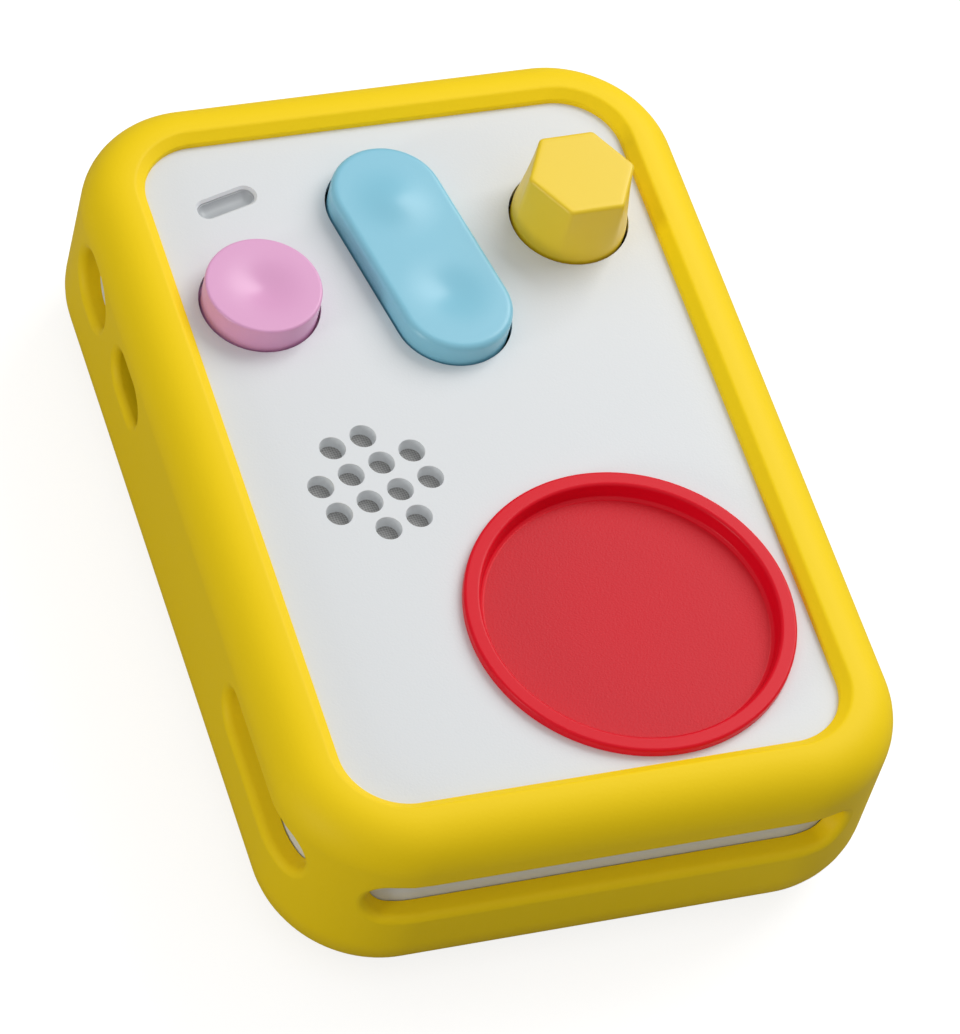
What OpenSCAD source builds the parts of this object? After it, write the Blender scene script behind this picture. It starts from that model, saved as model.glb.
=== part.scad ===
// Audio story player for small children, in its thick soft sleeve.
// The front face looks up (+Z) and the player's top end points to +Y.
// Origin: centre of the sleeve's underside. Millimetres.

/* [Player body] */
// Width of the rigid body
body_w = 92; // [90:0.5:98]
// Length of the rigid body
body_l = 138.6; // [137:0.2:148]
// Depth of the rigid body, back to front face
body_h = 32.3; // [31:0.1:36]
// Corner radius, seen from the front
body_corner_r = 15.8; // [14.5:0.1:17]
// Rounding of the back edge
body_back_r = 8.2; // [7:0.1:9]
// Rounding of the front edge, under the sleeve's lip
body_front_r = 2; // [1:0.1:2.5]
// Wall of both shells
wall = 2; // [1.6:0.1:2.4]
// Height of the seam above the back
seam_h = 12.8; // [12:0.1:14]
// Height of the tongue along the seam
tongue_h = 1.6; // [1:0.1:2.2]

/* [Sleeve] */
// Thickness of the sleeve's side walls
sleeve_wall = 3.5; // [2.8:0.1:4.2]
// Thickness of the sleeve under the back
sleeve_base = 3; // [2.4:0.1:3.6]
// Width of the front lip over the face
sleeve_lip = 6.3; // [5:0.1:7]
// Height of the front lip above the face
sleeve_lip_h = 2.2; // [1.6:0.1:2.8]
// Height of the lip's upright inner wall
sleeve_step = 1.2; // [0.8:0.1:1.5]
// Width of the bevel on the lip's inner edge
sleeve_bevel = 1.8; // [1:0.1:2.4]
// Width of the back lip, in from the body's side
sleeve_back_lip = 11; // [10:0.1:12]
// Rounding of the sleeve's front outer edge
sleeve_top_r = 8; // [6:0.1:8.4]
// Rounding of the edges of the side windows
window_edge_r = 1.4; // [0.8:0.1:1.6]

/* [Side windows of the sleeve] */
// Length of the end window
end_window_l = 78; // [60:1:80]
// Height of the two long windows
long_window_h = 8; // [6:0.1:9]
// Depth of the end window's centre below the face
end_window_depth = 12.5; // [11.5:0.1:13.5]
// Length of the long side window
side_window_l = 32; // [24:0.5:34]
// Distance of the side window's centre from the bottom end
side_window_from_end = 21.6; // [21:0.1:24]
// Depth of the side window's centre below the face
side_window_depth = 11.6; // [11:0.1:13]
// Length of the headphone window
jack_window_l = 13; // [11:0.1:14]
// Height of the headphone window
jack_window_h = 10.6; // [9:0.1:11]
// Length of the charging window
usb_window_l = 12.6; // [12:0.1:14]
// Height of the charging window
usb_window_h = 7.6; // [7:0.1:8.6]

/* [Round button] */
// Radius of the button's cap
play_r = 9.33; // [8.8:0.01:9.6]
// Height of the cap above the face
play_h = 4.6; // [3.6:0.1:5.4]
// Travel of the button
play_travel = 1.2; // [0.8:0.1:1.4]
// Depth of the hollow in its top
play_dish = 1.1; // [0.6:0.1:1.4]
// Place to the left of the centre line
play_left = 27.7; // [27:0.1:29]
// Distance from the player's top end
play_from_top = 37.8; // [37:0.1:39]

/* [Rocker] */
// Radius of the rocker's ends
rocker_r = 9.2; // [8.8:0.01:9.4]
// Distance between its end centres
rocker_run = 23.7; // [22:0.1:25]
// Height of the rocker above the face
rocker_h = 4; // [3.6:0.1:5]
// Rounding of its upper edge
rocker_edge_r = 1.2; // [0.6:0.1:1.6]
// Height of the swell at its upper end, depth of the hollow at its lower end
rocker_dimple = 0.8; // [0.5:0.1:1.2]
// Lean of the rocker on the face
rocker_lean = 10.4; // [6:0.1:12]
// Tilt to either side
rocker_tilt = 3; // [1:0.1:3]
// Place to the left of the centre line
rocker_left = 0.2; // [0:0.1:1]
// Distance from the player's top end
rocker_from_top = 33.9; // [32.6:0.1:34.6]

/* [Knob] */
// Radius of the knob's round base
knob_r = 9.4; // [9:0.01:9.6]
// Corner radius of its six-sided top
knob_hex_r = 8.8; // [8.2:0.1:9]
// Height above the face
knob_h = 11.4; // [10:0.1:13]
// Place to the right of the centre line
knob_right = 26.9; // [26:0.1:27.4]
// Distance from the player's top end
knob_from_top = 29; // [28:0.1:30]
// Radius of the shaft
shaft_r = 3; // [2.5:0.1:3.2]

/* [Token dish] */
// Outer radius of the ring
dish_r = 26; // [25:0.1:26.4]
// Width of the ring
dish_ring_w = 2.6; // [2.2:0.1:3]
// Height of the ring above the face
dish_ring_h = 1.6; // [1.2:0.1:2]
// Depth of the dish's floor below the face
dish_depth = 1.2; // [0.8:0.1:1.5]
// Thickness of the dish's floor
dish_floor = 1.5; // [1.2:0.1:2]
// Gap between the ring and the sleeve's side lip
dish_side_gap = 1.5; // [1.2:0.1:3]
// Gap between the ring and the sleeve's end lip
dish_end_gap = 1.05; // [0.9:0.05:3]

/* [Speaker] */
// Radius of the loudspeaker
speaker_r = 14; // [13:0.1:14.4]
// Spacing of the holes
speaker_pitch = 5.57; // [5.2:0.01:5.8]
// Radius of the holes
speaker_hole_r = 2.12; // [1.6:0.01:2.3]
// Turn of the pattern of holes
speaker_turn = 15; // [0:1:20]
// Place to the left of the centre line
speaker_left = 19.5; // [19.2:0.1:21]
// Place below the middle of the face
speaker_below = 5.1; // [4.6:0.1:5.4]

/* [Status light] */
// Length of the slot at the face
light_l = 10.9; // [9:0.1:12]
// Height of the slot at the face
light_w = 4; // [3.4:0.1:4.4]
// Width of the slot's bevel
light_bevel = 0.4; // [0.3:0.05:0.8]
// Turn of the slot
light_turn = 15; // [0:1:20]
// Depth of the lens below the face
light_depth = 0.6; // [0.4:0.1:1.5]
// Place to the left of the centre line
light_left = 27.4; // [27:0.1:28]
// Distance from the player's top end
light_from_top = 17.5; // [17:0.1:18]

/* [Electronics] */
// Depth of the main board's upper side below the face
board_depth = 13.3; // [13:0.1:13.8]
// Thickness of the main board
board_t = 1.6; // [1:0.1:2]
// Length of the main board along the player
board_l = 49; // [46:0.5:50]
// Distance of the board from the body's top end
board_from_top = 6; // [5:0.1:6.4]
// Height of the push switches, with their stems
switch_h = 5; // [4.3:0.1:5.2]
// Bore radius of the headphone socket
jack_bore_r = 1.8; // [1.76:0.01:1.85]
// Length of the headphone socket's bore
jack_bore_l = 12; // [11:0.1:13]
// Distance of the headphone socket from the top end
jack_from_top = 23.1; // [22.6:0.1:24]
// Distance of the charging socket from the top end
usb_from_top = 42.7; // [42:0.1:43.4]
// Width of the battery
battery_w = 56; // [48:0.5:60]
// Length of the battery
battery_l = 68; // [60:0.5:70]
// Thickness of the battery
battery_h = 9; // [7:0.1:9.5]

/* [Fastening] */
// Radius of the corner bosses in the front shell
boss_r = 3.3; // [2.9:0.1:3.5]
// Radius of the housing screws
screw_r = 1.25; // [1:0.05:1.3]
// Length of the housing screws
screw_l = 12; // [10:0.5:14]
// Radius of the small screws
small_screw_r = 1; // [0.8:0.05:1.05]

/* [Clearances] */
// Gap between the sleeve and the body
sleeve_gap = 0.2; // [0.1:0.05:0.3]
// Gap around each control in the face
control_gap = 0.42; // [0.36:0.01:0.5]
// Radial gap of shafts and pins in their bores
running_gap = 0.05; // [0.03:0.01:0.08]
// Gap between parts that fit into each other
fit_gap = 0.15; // [0.1:0.01:0.2]

/* [Hidden] */

$fn = 96;
// Overshoot of cutting tools
over = 1;

// Heights
back_z = sleeve_base + sleeve_gap;
face_z = back_z + body_h;
seam_z = back_z + seam_h;
ceiling_z = face_z - wall;
floor_z = back_z + wall;
board_z = face_z - board_depth;
board_under_z = board_z - board_t;
crest_z = face_z + sleeve_lip_h;

// Sleeve
skin = sleeve_gap + sleeve_wall;
outer_w = body_w + 2 * skin;
outer_l = body_l + 2 * skin;
outer_r = body_corner_r + skin;
outer_bottom_r = body_back_r + skin;
cavity_r = body_corner_r + sleeve_gap;
lip_r = body_corner_r - sleeve_lip;
back_lip_r = body_corner_r - sleeve_back_lip;
open_w = body_w - 2 * sleeve_lip;
open_l = body_l - 2 * sleeve_lip;

// Places on the face
play_at = [-play_left, body_l / 2 - play_from_top];
rocker_at = [-rocker_left, body_l / 2 - rocker_from_top];
knob_at = [knob_right, body_l / 2 - knob_from_top];
light_at = [-light_left, body_l / 2 - light_from_top];
speaker_at = [-speaker_left, -speaker_below];
dish_at = [open_w / 2 - dish_side_gap - dish_r, -open_l / 2 + dish_end_gap + dish_r];
jack_y = body_l / 2 - jack_from_top;
usb_y = body_l / 2 - usb_from_top;
side_window_y = -body_l / 2 + side_window_from_end;

// Holes in the face
play_hole_r = play_r + control_gap;
rocker_hole_r = rocker_r + control_gap;
knob_hole_r = knob_r + control_gap;
light_hole_r = light_w / 2 - light_bevel;
light_run = light_l - light_w;
lens_rim = 0.15;
lens_trough = 0.9;

// Housing screws and bosses
boss_bite = 0.5;
boss_reach = (body_corner_r - wall - boss_r + boss_bite) * sin(45);
boss_x = body_w / 2 - body_corner_r + boss_reach;
boss_y = body_l / 2 - body_corner_r + boss_reach;
head_r = 2.1 * screw_r;
head_h = 1.4 * screw_r;
head_seat_z = back_z + 5;
head_pocket_r = head_r + 2 * fit_gap;
rear_boss_r = head_pocket_r + 1.3;
boss_gap = 0.1;
pilot_r = screw_r + running_gap;
pilot_top_z = head_seat_z + screw_l + over;

// Small screws
small_head_r = 2 * small_screw_r;
small_head_h = 1.3 * small_screw_r;
small_pilot_r = small_screw_r + running_gap;
post_r = small_screw_r + 1.7;

// Main board
board_gap = 1;
board_top_y = body_l / 2 - board_from_top;
board_low_y = board_top_y - board_l;
board_half_w = body_w / 2 - wall - board_gap;
post_inset = 4.4;
top_post_x = 14;
socket_recess = 0.5;
usb_l = 7.4;
// the low posts stand beyond the inner end of the charging socket
low_post_x = body_w / 2 - socket_recess - usb_l - post_r - 0.6;
board_posts = [[-top_post_x, board_top_y - post_inset], [top_post_x, board_top_y - post_inset],
    [-low_post_x, board_low_y + post_inset], [low_post_x, board_low_y + post_inset]];
board_screw_grip = 5;
board_screw_l = board_t + board_screw_grip;
can_w = 20;
can_l = 14;
can_h = 2.2;
can_lid_step = 0.6;
can_lid_h = 0.4;
can_at = [-22, board_low_y + 14];
switch_w = 6;
switch_stem_r = 1.7;
switch_stem_h = 1.4;

// Round button
play_flange_r = play_hole_r + 1.2;
play_flange_h = 1.5;
play_collar_r = play_flange_r + control_gap;
play_base_z = ceiling_z - boss_gap - play_flange_h;
play_top_z = face_z + play_h;
play_edge_r = 0.45;
play_dish_r = play_r - play_edge_r;
switch_z = board_z + switch_h;
stem_gap = 0.06;
stem_tip_z = switch_z + play_travel + stem_gap;
spring_wire_r = 0.4;
spring_r = 5.5;
spring_turns = 5;
spring_seat_gap = 0.05;
collar_t = 1.2;
collar_h = play_flange_h + play_travel + 1.4;

// Rocker
rocker_pin_r = 1.25;
rocker_pin_depth = 3.8;
rocker_pin_z = face_z - rocker_pin_depth;
rocker_base_z = rocker_pin_z - 2.5;
rocker_roof_z = face_z + rocker_h - rocker_dimple - 1.5;
rocker_skin = 1.5;
rocker_foot_at = 10;
rocker_foot_r = 2;
rocker_foot_z = switch_z + rocker_foot_at * sin(rocker_tilt) + 0.1;
rocker_hub_w = 7;
lug_t = 3.4;
lug_gap = 0.8;
lug_w = 7;
lug_z = rocker_pin_z - rocker_pin_r - 1.6;
pin_half = rocker_r + lug_gap + lug_t - 0.2;
rocker_bell_r = 5.8;

// Knob and potentiometer
knob_base_z = face_z - 1.6;
knob_top_z = face_z + knob_h;
knob_hub_r = shaft_r + 2;
knob_shell_t = 1.6;
knob_turn = 1;
pot_w = 12;
pot_h = 6.8;
bush_r = shaft_r + 0.9;
bush_top_z = knob_base_z - 0.5;
shaft_top_z = face_z + 6.5;
shaft_flat = shaft_r / 2;
shaft_flat_z = face_z - 0.4;
shaft_foot_z = board_z + 1.5;

// Token dish
dish_cup_r = dish_r - 1.6;
dish_inner_r = dish_r - dish_ring_w;
dish_draft = 0.2;
dish_cove_w = 0.5;
dish_cove_h = 0.3;
dish_floor_z = face_z - dish_depth;
dish_under_z = dish_floor_z - dish_floor;
dish_post_reach = dish_cup_r + fit_gap + post_r + 1;
dish_post_angles = [100, 220, 340];
antenna_r = dish_inner_r - 1.5;
antenna_t = 0.9;
antenna_z = dish_under_z - antenna_t;
magnet_r = 4;
magnet_h = 2;
magnet_ring_r = 13;
magnet_count = 4;
backplate_t = magnet_h + 1;
backplate_z = antenna_z - backplate_t;
backplate_r = dish_cup_r;
dish_post_z = backplate_z + 1.6;
tab_w = 1.5 * post_r;

// Loudspeaker, measured down from the ceiling
cloth_t = 0.4;
gasket_t = 1;
frame_t = 1;
basket_h = 4.2;
magnet_block_h = 2.8;
cloth_z = ceiling_z - cloth_t;
gasket_z = cloth_z - gasket_t;
frame_z = gasket_z - frame_t;
basket_z = frame_z - basket_h;
speaker_bottom_z = basket_z - magnet_block_h;
basket_low_r = speaker_r - 4.5;
cone_out_r = speaker_r - 3.2;
cone_in_r = 3.2;
surround_z = frame_z + frame_t / 2;
surround_t = 0.3;
surround_lip_r = speaker_r - 1.15;
surround_roll_r = 0.6;
gasket_w = 1.2;
speaker_rib_t = 1.2;
speaker_rib_h = 3;
speaker_hole_draft = 0.33;
dust_cap_r = 4.3;
dust_cap_t = 0.4;

// Sockets
jack_w = 6.4;
jack_h = 5;
jack_z = board_z + 2.5;
jack_nose_r = 3;
usb_w = 8.94;
usb_h = 3.26;
usb_skin = 0.3;
usb_z = board_z + 2.3;
usb_tongue_t = 0.7;
usb_tongue_w = 6.6;
side_x = -body_w / 2;
jack_collar_r = jack_window_h / 2 - 0.9;
jack_collar_out = 0.9;

// Battery
pad_t = 0.8;
battery_y = -body_l / 2 + wall + 9 + battery_l / 2;
battery_z = floor_z + pad_t;
battery_edge_r = 2.5;
fence_t = 1.2;
fence_h = 6;
fence_gap = 0.3;
lead_r = 0.7;
antenna_lead_r = 0.4;
lead_bend_r = 2.5;
lead_pitch = 2;
plug_w = 6;
plug_l = 7;
plug_h = 4;
plug_x = 4;
lead_out = 1;
lead_slack = 0.5;
// the plug sits on the board, as far from the battery as its leads need to climb
plug_low_y = max(board_low_y + 2,
    battery_y + battery_l / 2 + lead_out + 2 * lead_bend_r + lead_slack);
plug_at = [plug_x, plug_low_y + plug_l / 2];
// the other leads land just inside the board's low end, or as soon as they can turn down
lead_land = 1.6;
lead_low_z = battery_z + battery_h / 2;
lead_high_z = board_under_z - plug_h / 2;

// ---- Shared shapes ----

// Quarter disc in the first quadrant
module quarter_disc(r) {
    intersection() {
        circle(r = r);
        square(r);
    }
}

// Rounded rectangle, centred
module rounded_plate(w, l, r) {
    square([w, l - 2 * r], center = true);
    square([w - 2 * r, l], center = true);
    for (turn = [0, 180]) rotate(turn) {
        translate([w / 2 - r, l / 2 - r]) quarter_disc(r);
        translate([-w / 2 + r, l / 2 - r]) rotate(90) quarter_disc(r);
    }
}

// Carries a section round a rounded rectangle. The section's x runs outwards
// from the corner centres, and its y runs up.
module carried_round(w, l, r) {
    for (turn = [0, 180]) rotate(turn) {
        translate([w / 2 - r, 0, 0])
            rotate([90, 0, 0]) linear_extrude(height = l - 2 * r, center = true) children();
        translate([0, l / 2 - r, 0])
            rotate([90, 0, 90]) linear_extrude(height = w - 2 * r, center = true) children();
        translate([w / 2 - r, l / 2 - r, 0]) rotate_extrude(angle = 90) children();
        translate([-w / 2 + r, l / 2 - r, 0]) rotate(90) rotate_extrude(angle = 90) children();
    }
}

// Carries a section round a stadium whose straight run lies along Y
module carried_stadium(run) {
    for (turn = [0, 180]) rotate(turn) {
        translate([0, run / 2, 0]) rotate_extrude(angle = 180) children();
        rotate([90, 0, 0]) linear_extrude(height = run, center = true) children();
    }
}

// Upright stadium block along Y
module stadium_block(run, r, z0, z1) {
    carried_stadium(run) translate([0, z0]) square([r, z1 - z0]);
}

// Section of a wall whose outer edges are rounded at the bottom and the top
module edged_section(r, z0, z1, bottom_r, top_r) {
    square_w = r - bottom_r;
    translate([0, z0]) square([square_w, bottom_r]);
    translate([square_w, z0 + bottom_r]) mirror([0, 1]) quarter_disc(bottom_r);
    translate([0, z0 + bottom_r]) square([r, z1 - top_r - z0 - bottom_r]);
    translate([0, z1 - top_r]) square([r - top_r, top_r]);
    translate([r - top_r, z1 - top_r]) quarter_disc(top_r);
}

// Solid slab with rounded corners and edges
module edged_slab(w, l, r, z0, z1, bottom_r, top_r) {
    carried_round(w, l, r) edged_section(r, z0, z1, bottom_r, top_r);
    translate([-w / 2 + r, -l / 2 + r, z0]) cube([w - 2 * r, l - 2 * r, z1 - z0]);
}

// Plain upright slab with rounded corners
module slab(w, l, r, z0, z1) {
    translate([0, 0, z0]) linear_extrude(height = z1 - z0) rounded_plate(w, l, r);
}

// Upright cylinder from one height to another
module post(r, z0, z1) {
    translate([0, 0, z0]) cylinder(r = r, h = z1 - z0);
}

// Upright tube
module ring(r_in, r_out, z0, z1) {
    difference() {
        post(r_out, z0, z1);
        post(r_in, z0 - over, z1 + over);
    }
}

// Copies to the four housing bosses
module at_bosses() {
    for (sx = [-1, 1], sy = [-1, 1]) translate([sx * boss_x, sy * boss_y, 0]) children();
}

module at_board_posts() {
    for (p = board_posts) translate([p[0], p[1], 0]) children();
}

module at_dish() {
    translate([dish_at[0], dish_at[1], 0]) children();
}

module at_dish_posts() {
    at_dish() for (a = dish_post_angles) rotate(a) translate([dish_post_reach, 0, 0]) children();
}

module at_speaker() {
    translate([speaker_at[0], speaker_at[1], 0]) children();
}

module at_rocker() {
    translate([rocker_at[0], rocker_at[1], 0]) rotate(rocker_lean) children();
}

module at_knob() {
    translate([knob_at[0], knob_at[1], 0]) children();
}

module at_play() {
    translate([play_at[0], play_at[1], 0]) children();
}

// ---- Sleeve ----

// Opening whose outer edge is rounded: half of its section
module flared_section(r) {
    reach = skin + 12;
    translate([0, -reach]) square([r, reach + over]);
    difference() {
        translate([0, -window_edge_r]) square([r + window_edge_r, window_edge_r + over]);
        translate([r + window_edge_r, -window_edge_r]) circle(r = window_edge_r);
    }
}

// Stadium window, cut inwards from z = 0, long way along Y
module sleeve_window(l, h) {
    carried_stadium(l - h) flared_section(h / 2);
}

module bumper_sleeve() color("gold") {
    difference() {
        carried_round(outer_w, outer_l, outer_r) difference() {
            edged_section(outer_r, 0, crest_z, outer_bottom_r, sleeve_top_r);
            // room for the body
            edged_section(cavity_r, back_z - sleeve_gap, face_z,
                body_back_r + sleeve_gap, body_front_r);
            // front opening with its bevel
            translate([-over, face_z - over]) square([lip_r + over, sleeve_lip_h + 2 * over]);
            polygon([[lip_r - over, face_z + sleeve_step - over * 0.5],
                [lip_r, face_z + sleeve_step],
                [lip_r + sleeve_bevel, crest_z],
                [lip_r + sleeve_bevel, crest_z + over],
                [lip_r - over, crest_z + over]]);
            // back opening
            translate([-over, -over]) square([back_lip_r + over, sleeve_base + 2 * over]);
        }
        translate([0, -outer_l / 2, face_z - end_window_depth])
            rotate([90, 0, 0]) rotate(90) sleeve_window(end_window_l, long_window_h);
        translate([-outer_w / 2, side_window_y, face_z - side_window_depth])
            rotate([0, -90, 0]) sleeve_window(side_window_l, long_window_h);
        translate([-outer_w / 2, jack_y, jack_z])
            rotate([0, -90, 0]) sleeve_window(jack_window_l, jack_window_h);
        translate([-outer_w / 2, usb_y, usb_z])
            rotate([0, -90, 0]) sleeve_window(usb_window_l, usb_window_h);
    }
}

// ---- Housing ----

// Twelve tapered holes through the face
module speaker_holes() {
    lean = speaker_hole_draft / wall;
    for (i = [0:3], j = [0:3])
        if (!((i == 0 || i == 3) && (j == 0 || j == 3)))
            rotate(speaker_turn)
                translate([(i - 1.5) * speaker_pitch, (j - 1.5) * speaker_pitch, ceiling_z - over])
                    cylinder(r1 = speaker_hole_r - speaker_hole_draft - lean * over,
                        r2 = speaker_hole_r + lean * over, h = wall + 2 * over);
}

// Slot for the status light, bevelled at the face
module light_slot() {
    carried_stadium(light_run) {
        translate([0, ceiling_z - over]) square([light_hole_r, wall + 2 * over]);
        polygon([[0, face_z - light_bevel], [light_hole_r, face_z - light_bevel],
            [light_w / 2, face_z], [light_w / 2, face_z + over], [0, face_z + over]]);
    }
}

module front_shell() color("whitesmoke") {
    difference() {
        union() {
            difference() {
                edged_slab(body_w, body_l, body_corner_r, seam_z, face_z, 0.01, body_front_r);
                slab(body_w - 2 * wall, body_l - 2 * wall, body_corner_r - wall,
                    seam_z - over, ceiling_z);
                // rebate for the rear shell's tongue
                slab(body_w - wall, body_l - wall, body_corner_r - wall / 2,
                    seam_z - over, seam_z + tongue_h + fit_gap);
            }
            intersection() {
                at_bosses() post(boss_r, seam_z + boss_gap, ceiling_z + wall / 2);
                slab(body_w - 1.5 * wall, body_l - 1.5 * wall, body_corner_r - 0.75 * wall,
                    seam_z + tongue_h + 2 * fit_gap, face_z);
            }
            at_board_posts() post(post_r, board_z, ceiling_z + wall / 2);
            at_dish_posts() post(post_r, dish_post_z, ceiling_z + wall / 2);
            at_play() ring(play_collar_r, play_collar_r + collar_t,
                ceiling_z - collar_h, ceiling_z + wall / 2);
            at_knob() ring(knob_hole_r + control_gap, knob_hole_r + control_gap + collar_t,
                ceiling_z - collar_h, ceiling_z + wall / 2);
            at_speaker() ring(speaker_r + fit_gap, speaker_r + fit_gap + speaker_rib_t,
                ceiling_z - speaker_rib_h, ceiling_z + wall / 2);
            // collar round the headphone socket, standing into the sleeve's window
            translate([side_x - jack_collar_out, jack_y, jack_z]) rotate([0, 90, 0])
                cylinder(r = jack_collar_r, h = jack_collar_out + wall / 2);
            // lugs that hold the rocker's pin
            at_rocker() for (s = [0, 180]) rotate(s)
                translate([rocker_r + lug_gap, -lug_w / 2, lug_z])
                    cube([lug_t, lug_w, ceiling_z + wall / 2 - lug_z]);
        }
        at_play() post(play_hole_r, ceiling_z - over, face_z + over);
        at_play() post(play_collar_r, ceiling_z - collar_h - over, ceiling_z);
        at_knob() post(knob_hole_r, ceiling_z - over, face_z + over);
        at_rocker() stadium_block(rocker_run, rocker_hole_r, ceiling_z - over, face_z + over);
        at_rocker() translate([0, 0, rocker_pin_z]) rotate([0, 90, 0])
            cylinder(r = rocker_pin_r + 0.02, h = 2 * pin_half + 0.1, center = true);
        at_dish() post(dish_cup_r + fit_gap, ceiling_z - over, face_z + over);
        at_speaker() speaker_holes();
        translate([light_at[0], light_at[1], 0]) rotate(light_turn - 90) light_slot();
        at_bosses() post(pilot_r, seam_z, pilot_top_z);
        at_board_posts() post(small_pilot_r, board_z - over, board_under_z + board_screw_l + over);
        at_dish_posts() post(small_pilot_r, dish_post_z - over, ceiling_z);
        // sockets in the left wall
        translate([side_x - jack_collar_out - over, jack_y, jack_z]) rotate([0, 90, 0])
            cylinder(r = jack_nose_r + fit_gap, h = jack_collar_out + wall + 2 * over);
        translate([side_x - over, usb_y, usb_z]) rotate([0, 90, 0])
            stadium_block(usb_w - usb_h, usb_h / 2 + fit_gap, 0, wall + 2 * over);
    }
}

module rear_shell() color("white") {
    difference() {
        union() {
            difference() {
                edged_slab(body_w, body_l, body_corner_r, back_z, seam_z, body_back_r, 0.01);
                edged_slab(body_w - 2 * wall, body_l - 2 * wall, body_corner_r - wall,
                    floor_z, seam_z + over, body_back_r - wall, 0.01);
            }
            // tongue into the front shell
            difference() {
                slab(body_w - wall - 2 * fit_gap, body_l - wall - 2 * fit_gap,
                    body_corner_r - wall / 2 - fit_gap, seam_z - over, seam_z + tongue_h);
                slab(body_w - 2 * wall, body_l - 2 * wall, body_corner_r - wall,
                    seam_z - 2 * over, seam_z + tongue_h + over);
            }
            intersection() {
                at_bosses() post(rear_boss_r, back_z, seam_z);
                edged_slab(body_w - wall, body_l - wall, body_corner_r - wall / 2,
                    back_z + wall / 2, seam_z, body_back_r - wall / 2, 0.01);
            }
            // fence round the battery
            translate([0, battery_y, 0]) difference() {
                slab(battery_w + 2 * (fence_gap + fence_t), battery_l + 2 * (fence_gap + fence_t),
                    battery_edge_r + fence_gap + fence_t, floor_z - wall / 2, floor_z + fence_h);
                slab(battery_w + 2 * fence_gap, battery_l + 2 * fence_gap,
                    battery_edge_r + fence_gap, floor_z, floor_z + fence_h + over);
                // way out for the leads
                translate([plug_at[0] - 4, 0, floor_z])
                    cube([8, battery_l, fence_h + over]);
            }
        }
        at_bosses() post(head_pocket_r, back_z - over, head_seat_z);
        at_bosses() post(pilot_r + fit_gap, back_z, seam_z + over);
    }
}

module rear_screws() color("silver") {
    at_bosses() difference() {
        union() {
            post(screw_r, head_seat_z - head_h / 2, head_seat_z + screw_l);
            post(head_r, head_seat_z - head_h, head_seat_z);
        }
        // cross recess
        for (turn = [0, 90]) rotate(turn)
            translate([-head_r * 0.6, -0.3, head_seat_z - head_h - over])
                cube([head_r * 1.2, 0.6, over + head_h / 2]);
    }
}

// ---- Token dish ----

module dish_section() {
    difference() {
        union() {
            square_z = dish_under_z;
            translate([0, square_z]) square([dish_cup_r, face_z - square_z]);
            translate([0, face_z]) square([dish_r, dish_ring_h]);
        }
        polygon([[-over, dish_floor_z], [dish_inner_r - dish_draft - dish_cove_w, dish_floor_z],
            [dish_inner_r - dish_draft, dish_floor_z + dish_cove_h],
            [dish_inner_r, face_z + dish_ring_h], [dish_inner_r, face_z + dish_ring_h + over],
            [-over, face_z + dish_ring_h + over]]);
        // rounded outer edge of the ring
        translate([dish_r - 0.5, face_z + dish_ring_h - 0.5]) difference() {
            square(over);
            circle(r = 0.5);
        }
    }
}

module token_dish() color("crimson") {
    at_dish() rotate_extrude() dish_section();
}

module antenna_board() color("seagreen") {
    at_dish() difference() {
        union() {
            post(antenna_r, antenna_z, antenna_z + antenna_t - 0.2);
            // flat coil on the board
            for (k = [0:3])
                ring(antenna_r - 2.4 - 1.6 * k, antenna_r - 1.6 - 1.6 * k,
                    antenna_z + antenna_t - 0.3, antenna_z + antenna_t);
        }
        post(5, antenna_z - over, dish_under_z + over);
    }
}

module at_magnets() {
    at_dish() for (k = [0:magnet_count - 1])
        rotate(45 + 360 * k / magnet_count) translate([magnet_ring_r, 0, 0]) children();
}

module dish_magnets() color("dimgray") {
    at_magnets() post(magnet_r, antenna_z - magnet_h, antenna_z);
}

module dish_backplate() color("gainsboro") {
    difference() {
        union() {
            at_dish() post(backplate_r, backplate_z, antenna_z);
            at_dish() for (a = dish_post_angles) rotate(a) {
                translate([backplate_r - tab_w, -tab_w / 2, backplate_z])
                    cube([dish_post_reach + tab_w - backplate_r, tab_w, dish_post_z - backplate_z]);
                translate([dish_post_reach, 0, 0]) post(post_r, backplate_z, dish_post_z);
            }
        }
        at_magnets() post(magnet_r + fit_gap, antenna_z - magnet_h, antenna_z + over);
        at_dish_posts() post(small_pilot_r + fit_gap, backplate_z - over, dish_post_z + over);
        at_dish() post(4, backplate_z - over, antenna_z + over);
    }
}

module small_screw(z_seat, l) {
    post(small_screw_r, z_seat - small_head_h / 2, z_seat + l);
    difference() {
        post(small_head_r, z_seat - small_head_h, z_seat);
        for (turn = [0, 90]) rotate(turn)
            translate([-small_head_r * 0.6, -0.25, z_seat - small_head_h - over])
                cube([small_head_r * 1.2, 0.5, over + small_head_h / 2]);
    }
}

module dish_screws() color("silver") {
    at_dish_posts() small_screw(backplate_z, ceiling_z - backplate_z - 0.4);
}

// ---- Round button ----

module play_section() {
    square_h = play_top_z - play_base_z;
    difference() {
        union() {
            translate([0, play_base_z]) square([play_r, square_h]);
            translate([0, play_base_z]) square([play_flange_r, play_flange_h]);
        }
        translate([play_r - play_edge_r, play_top_z - play_edge_r]) difference() {
            square(over);
            circle(r = play_edge_r);
        }
    }
}

module play_button() color("orchid") {
    ball_r = (play_dish_r * play_dish_r + play_dish * play_dish) / (2 * play_dish);
    at_play() {
        difference() {
            rotate_extrude() play_section();
            translate([0, 0, play_top_z - play_dish + ball_r]) sphere(r = ball_r, $fn = 200);
        }
        post(2.2, stem_tip_z, play_base_z + over);
    }
}

// Points of a round wire wound about Z
function coil_ring(a, rise, sides) = [for (k = [0:sides - 1])
    let (t = 360 * k / sides, r = spring_r + spring_wire_r * cos(t))
        [r * cos(a), r * sin(a), rise + spring_wire_r * sin(t)]];

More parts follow.
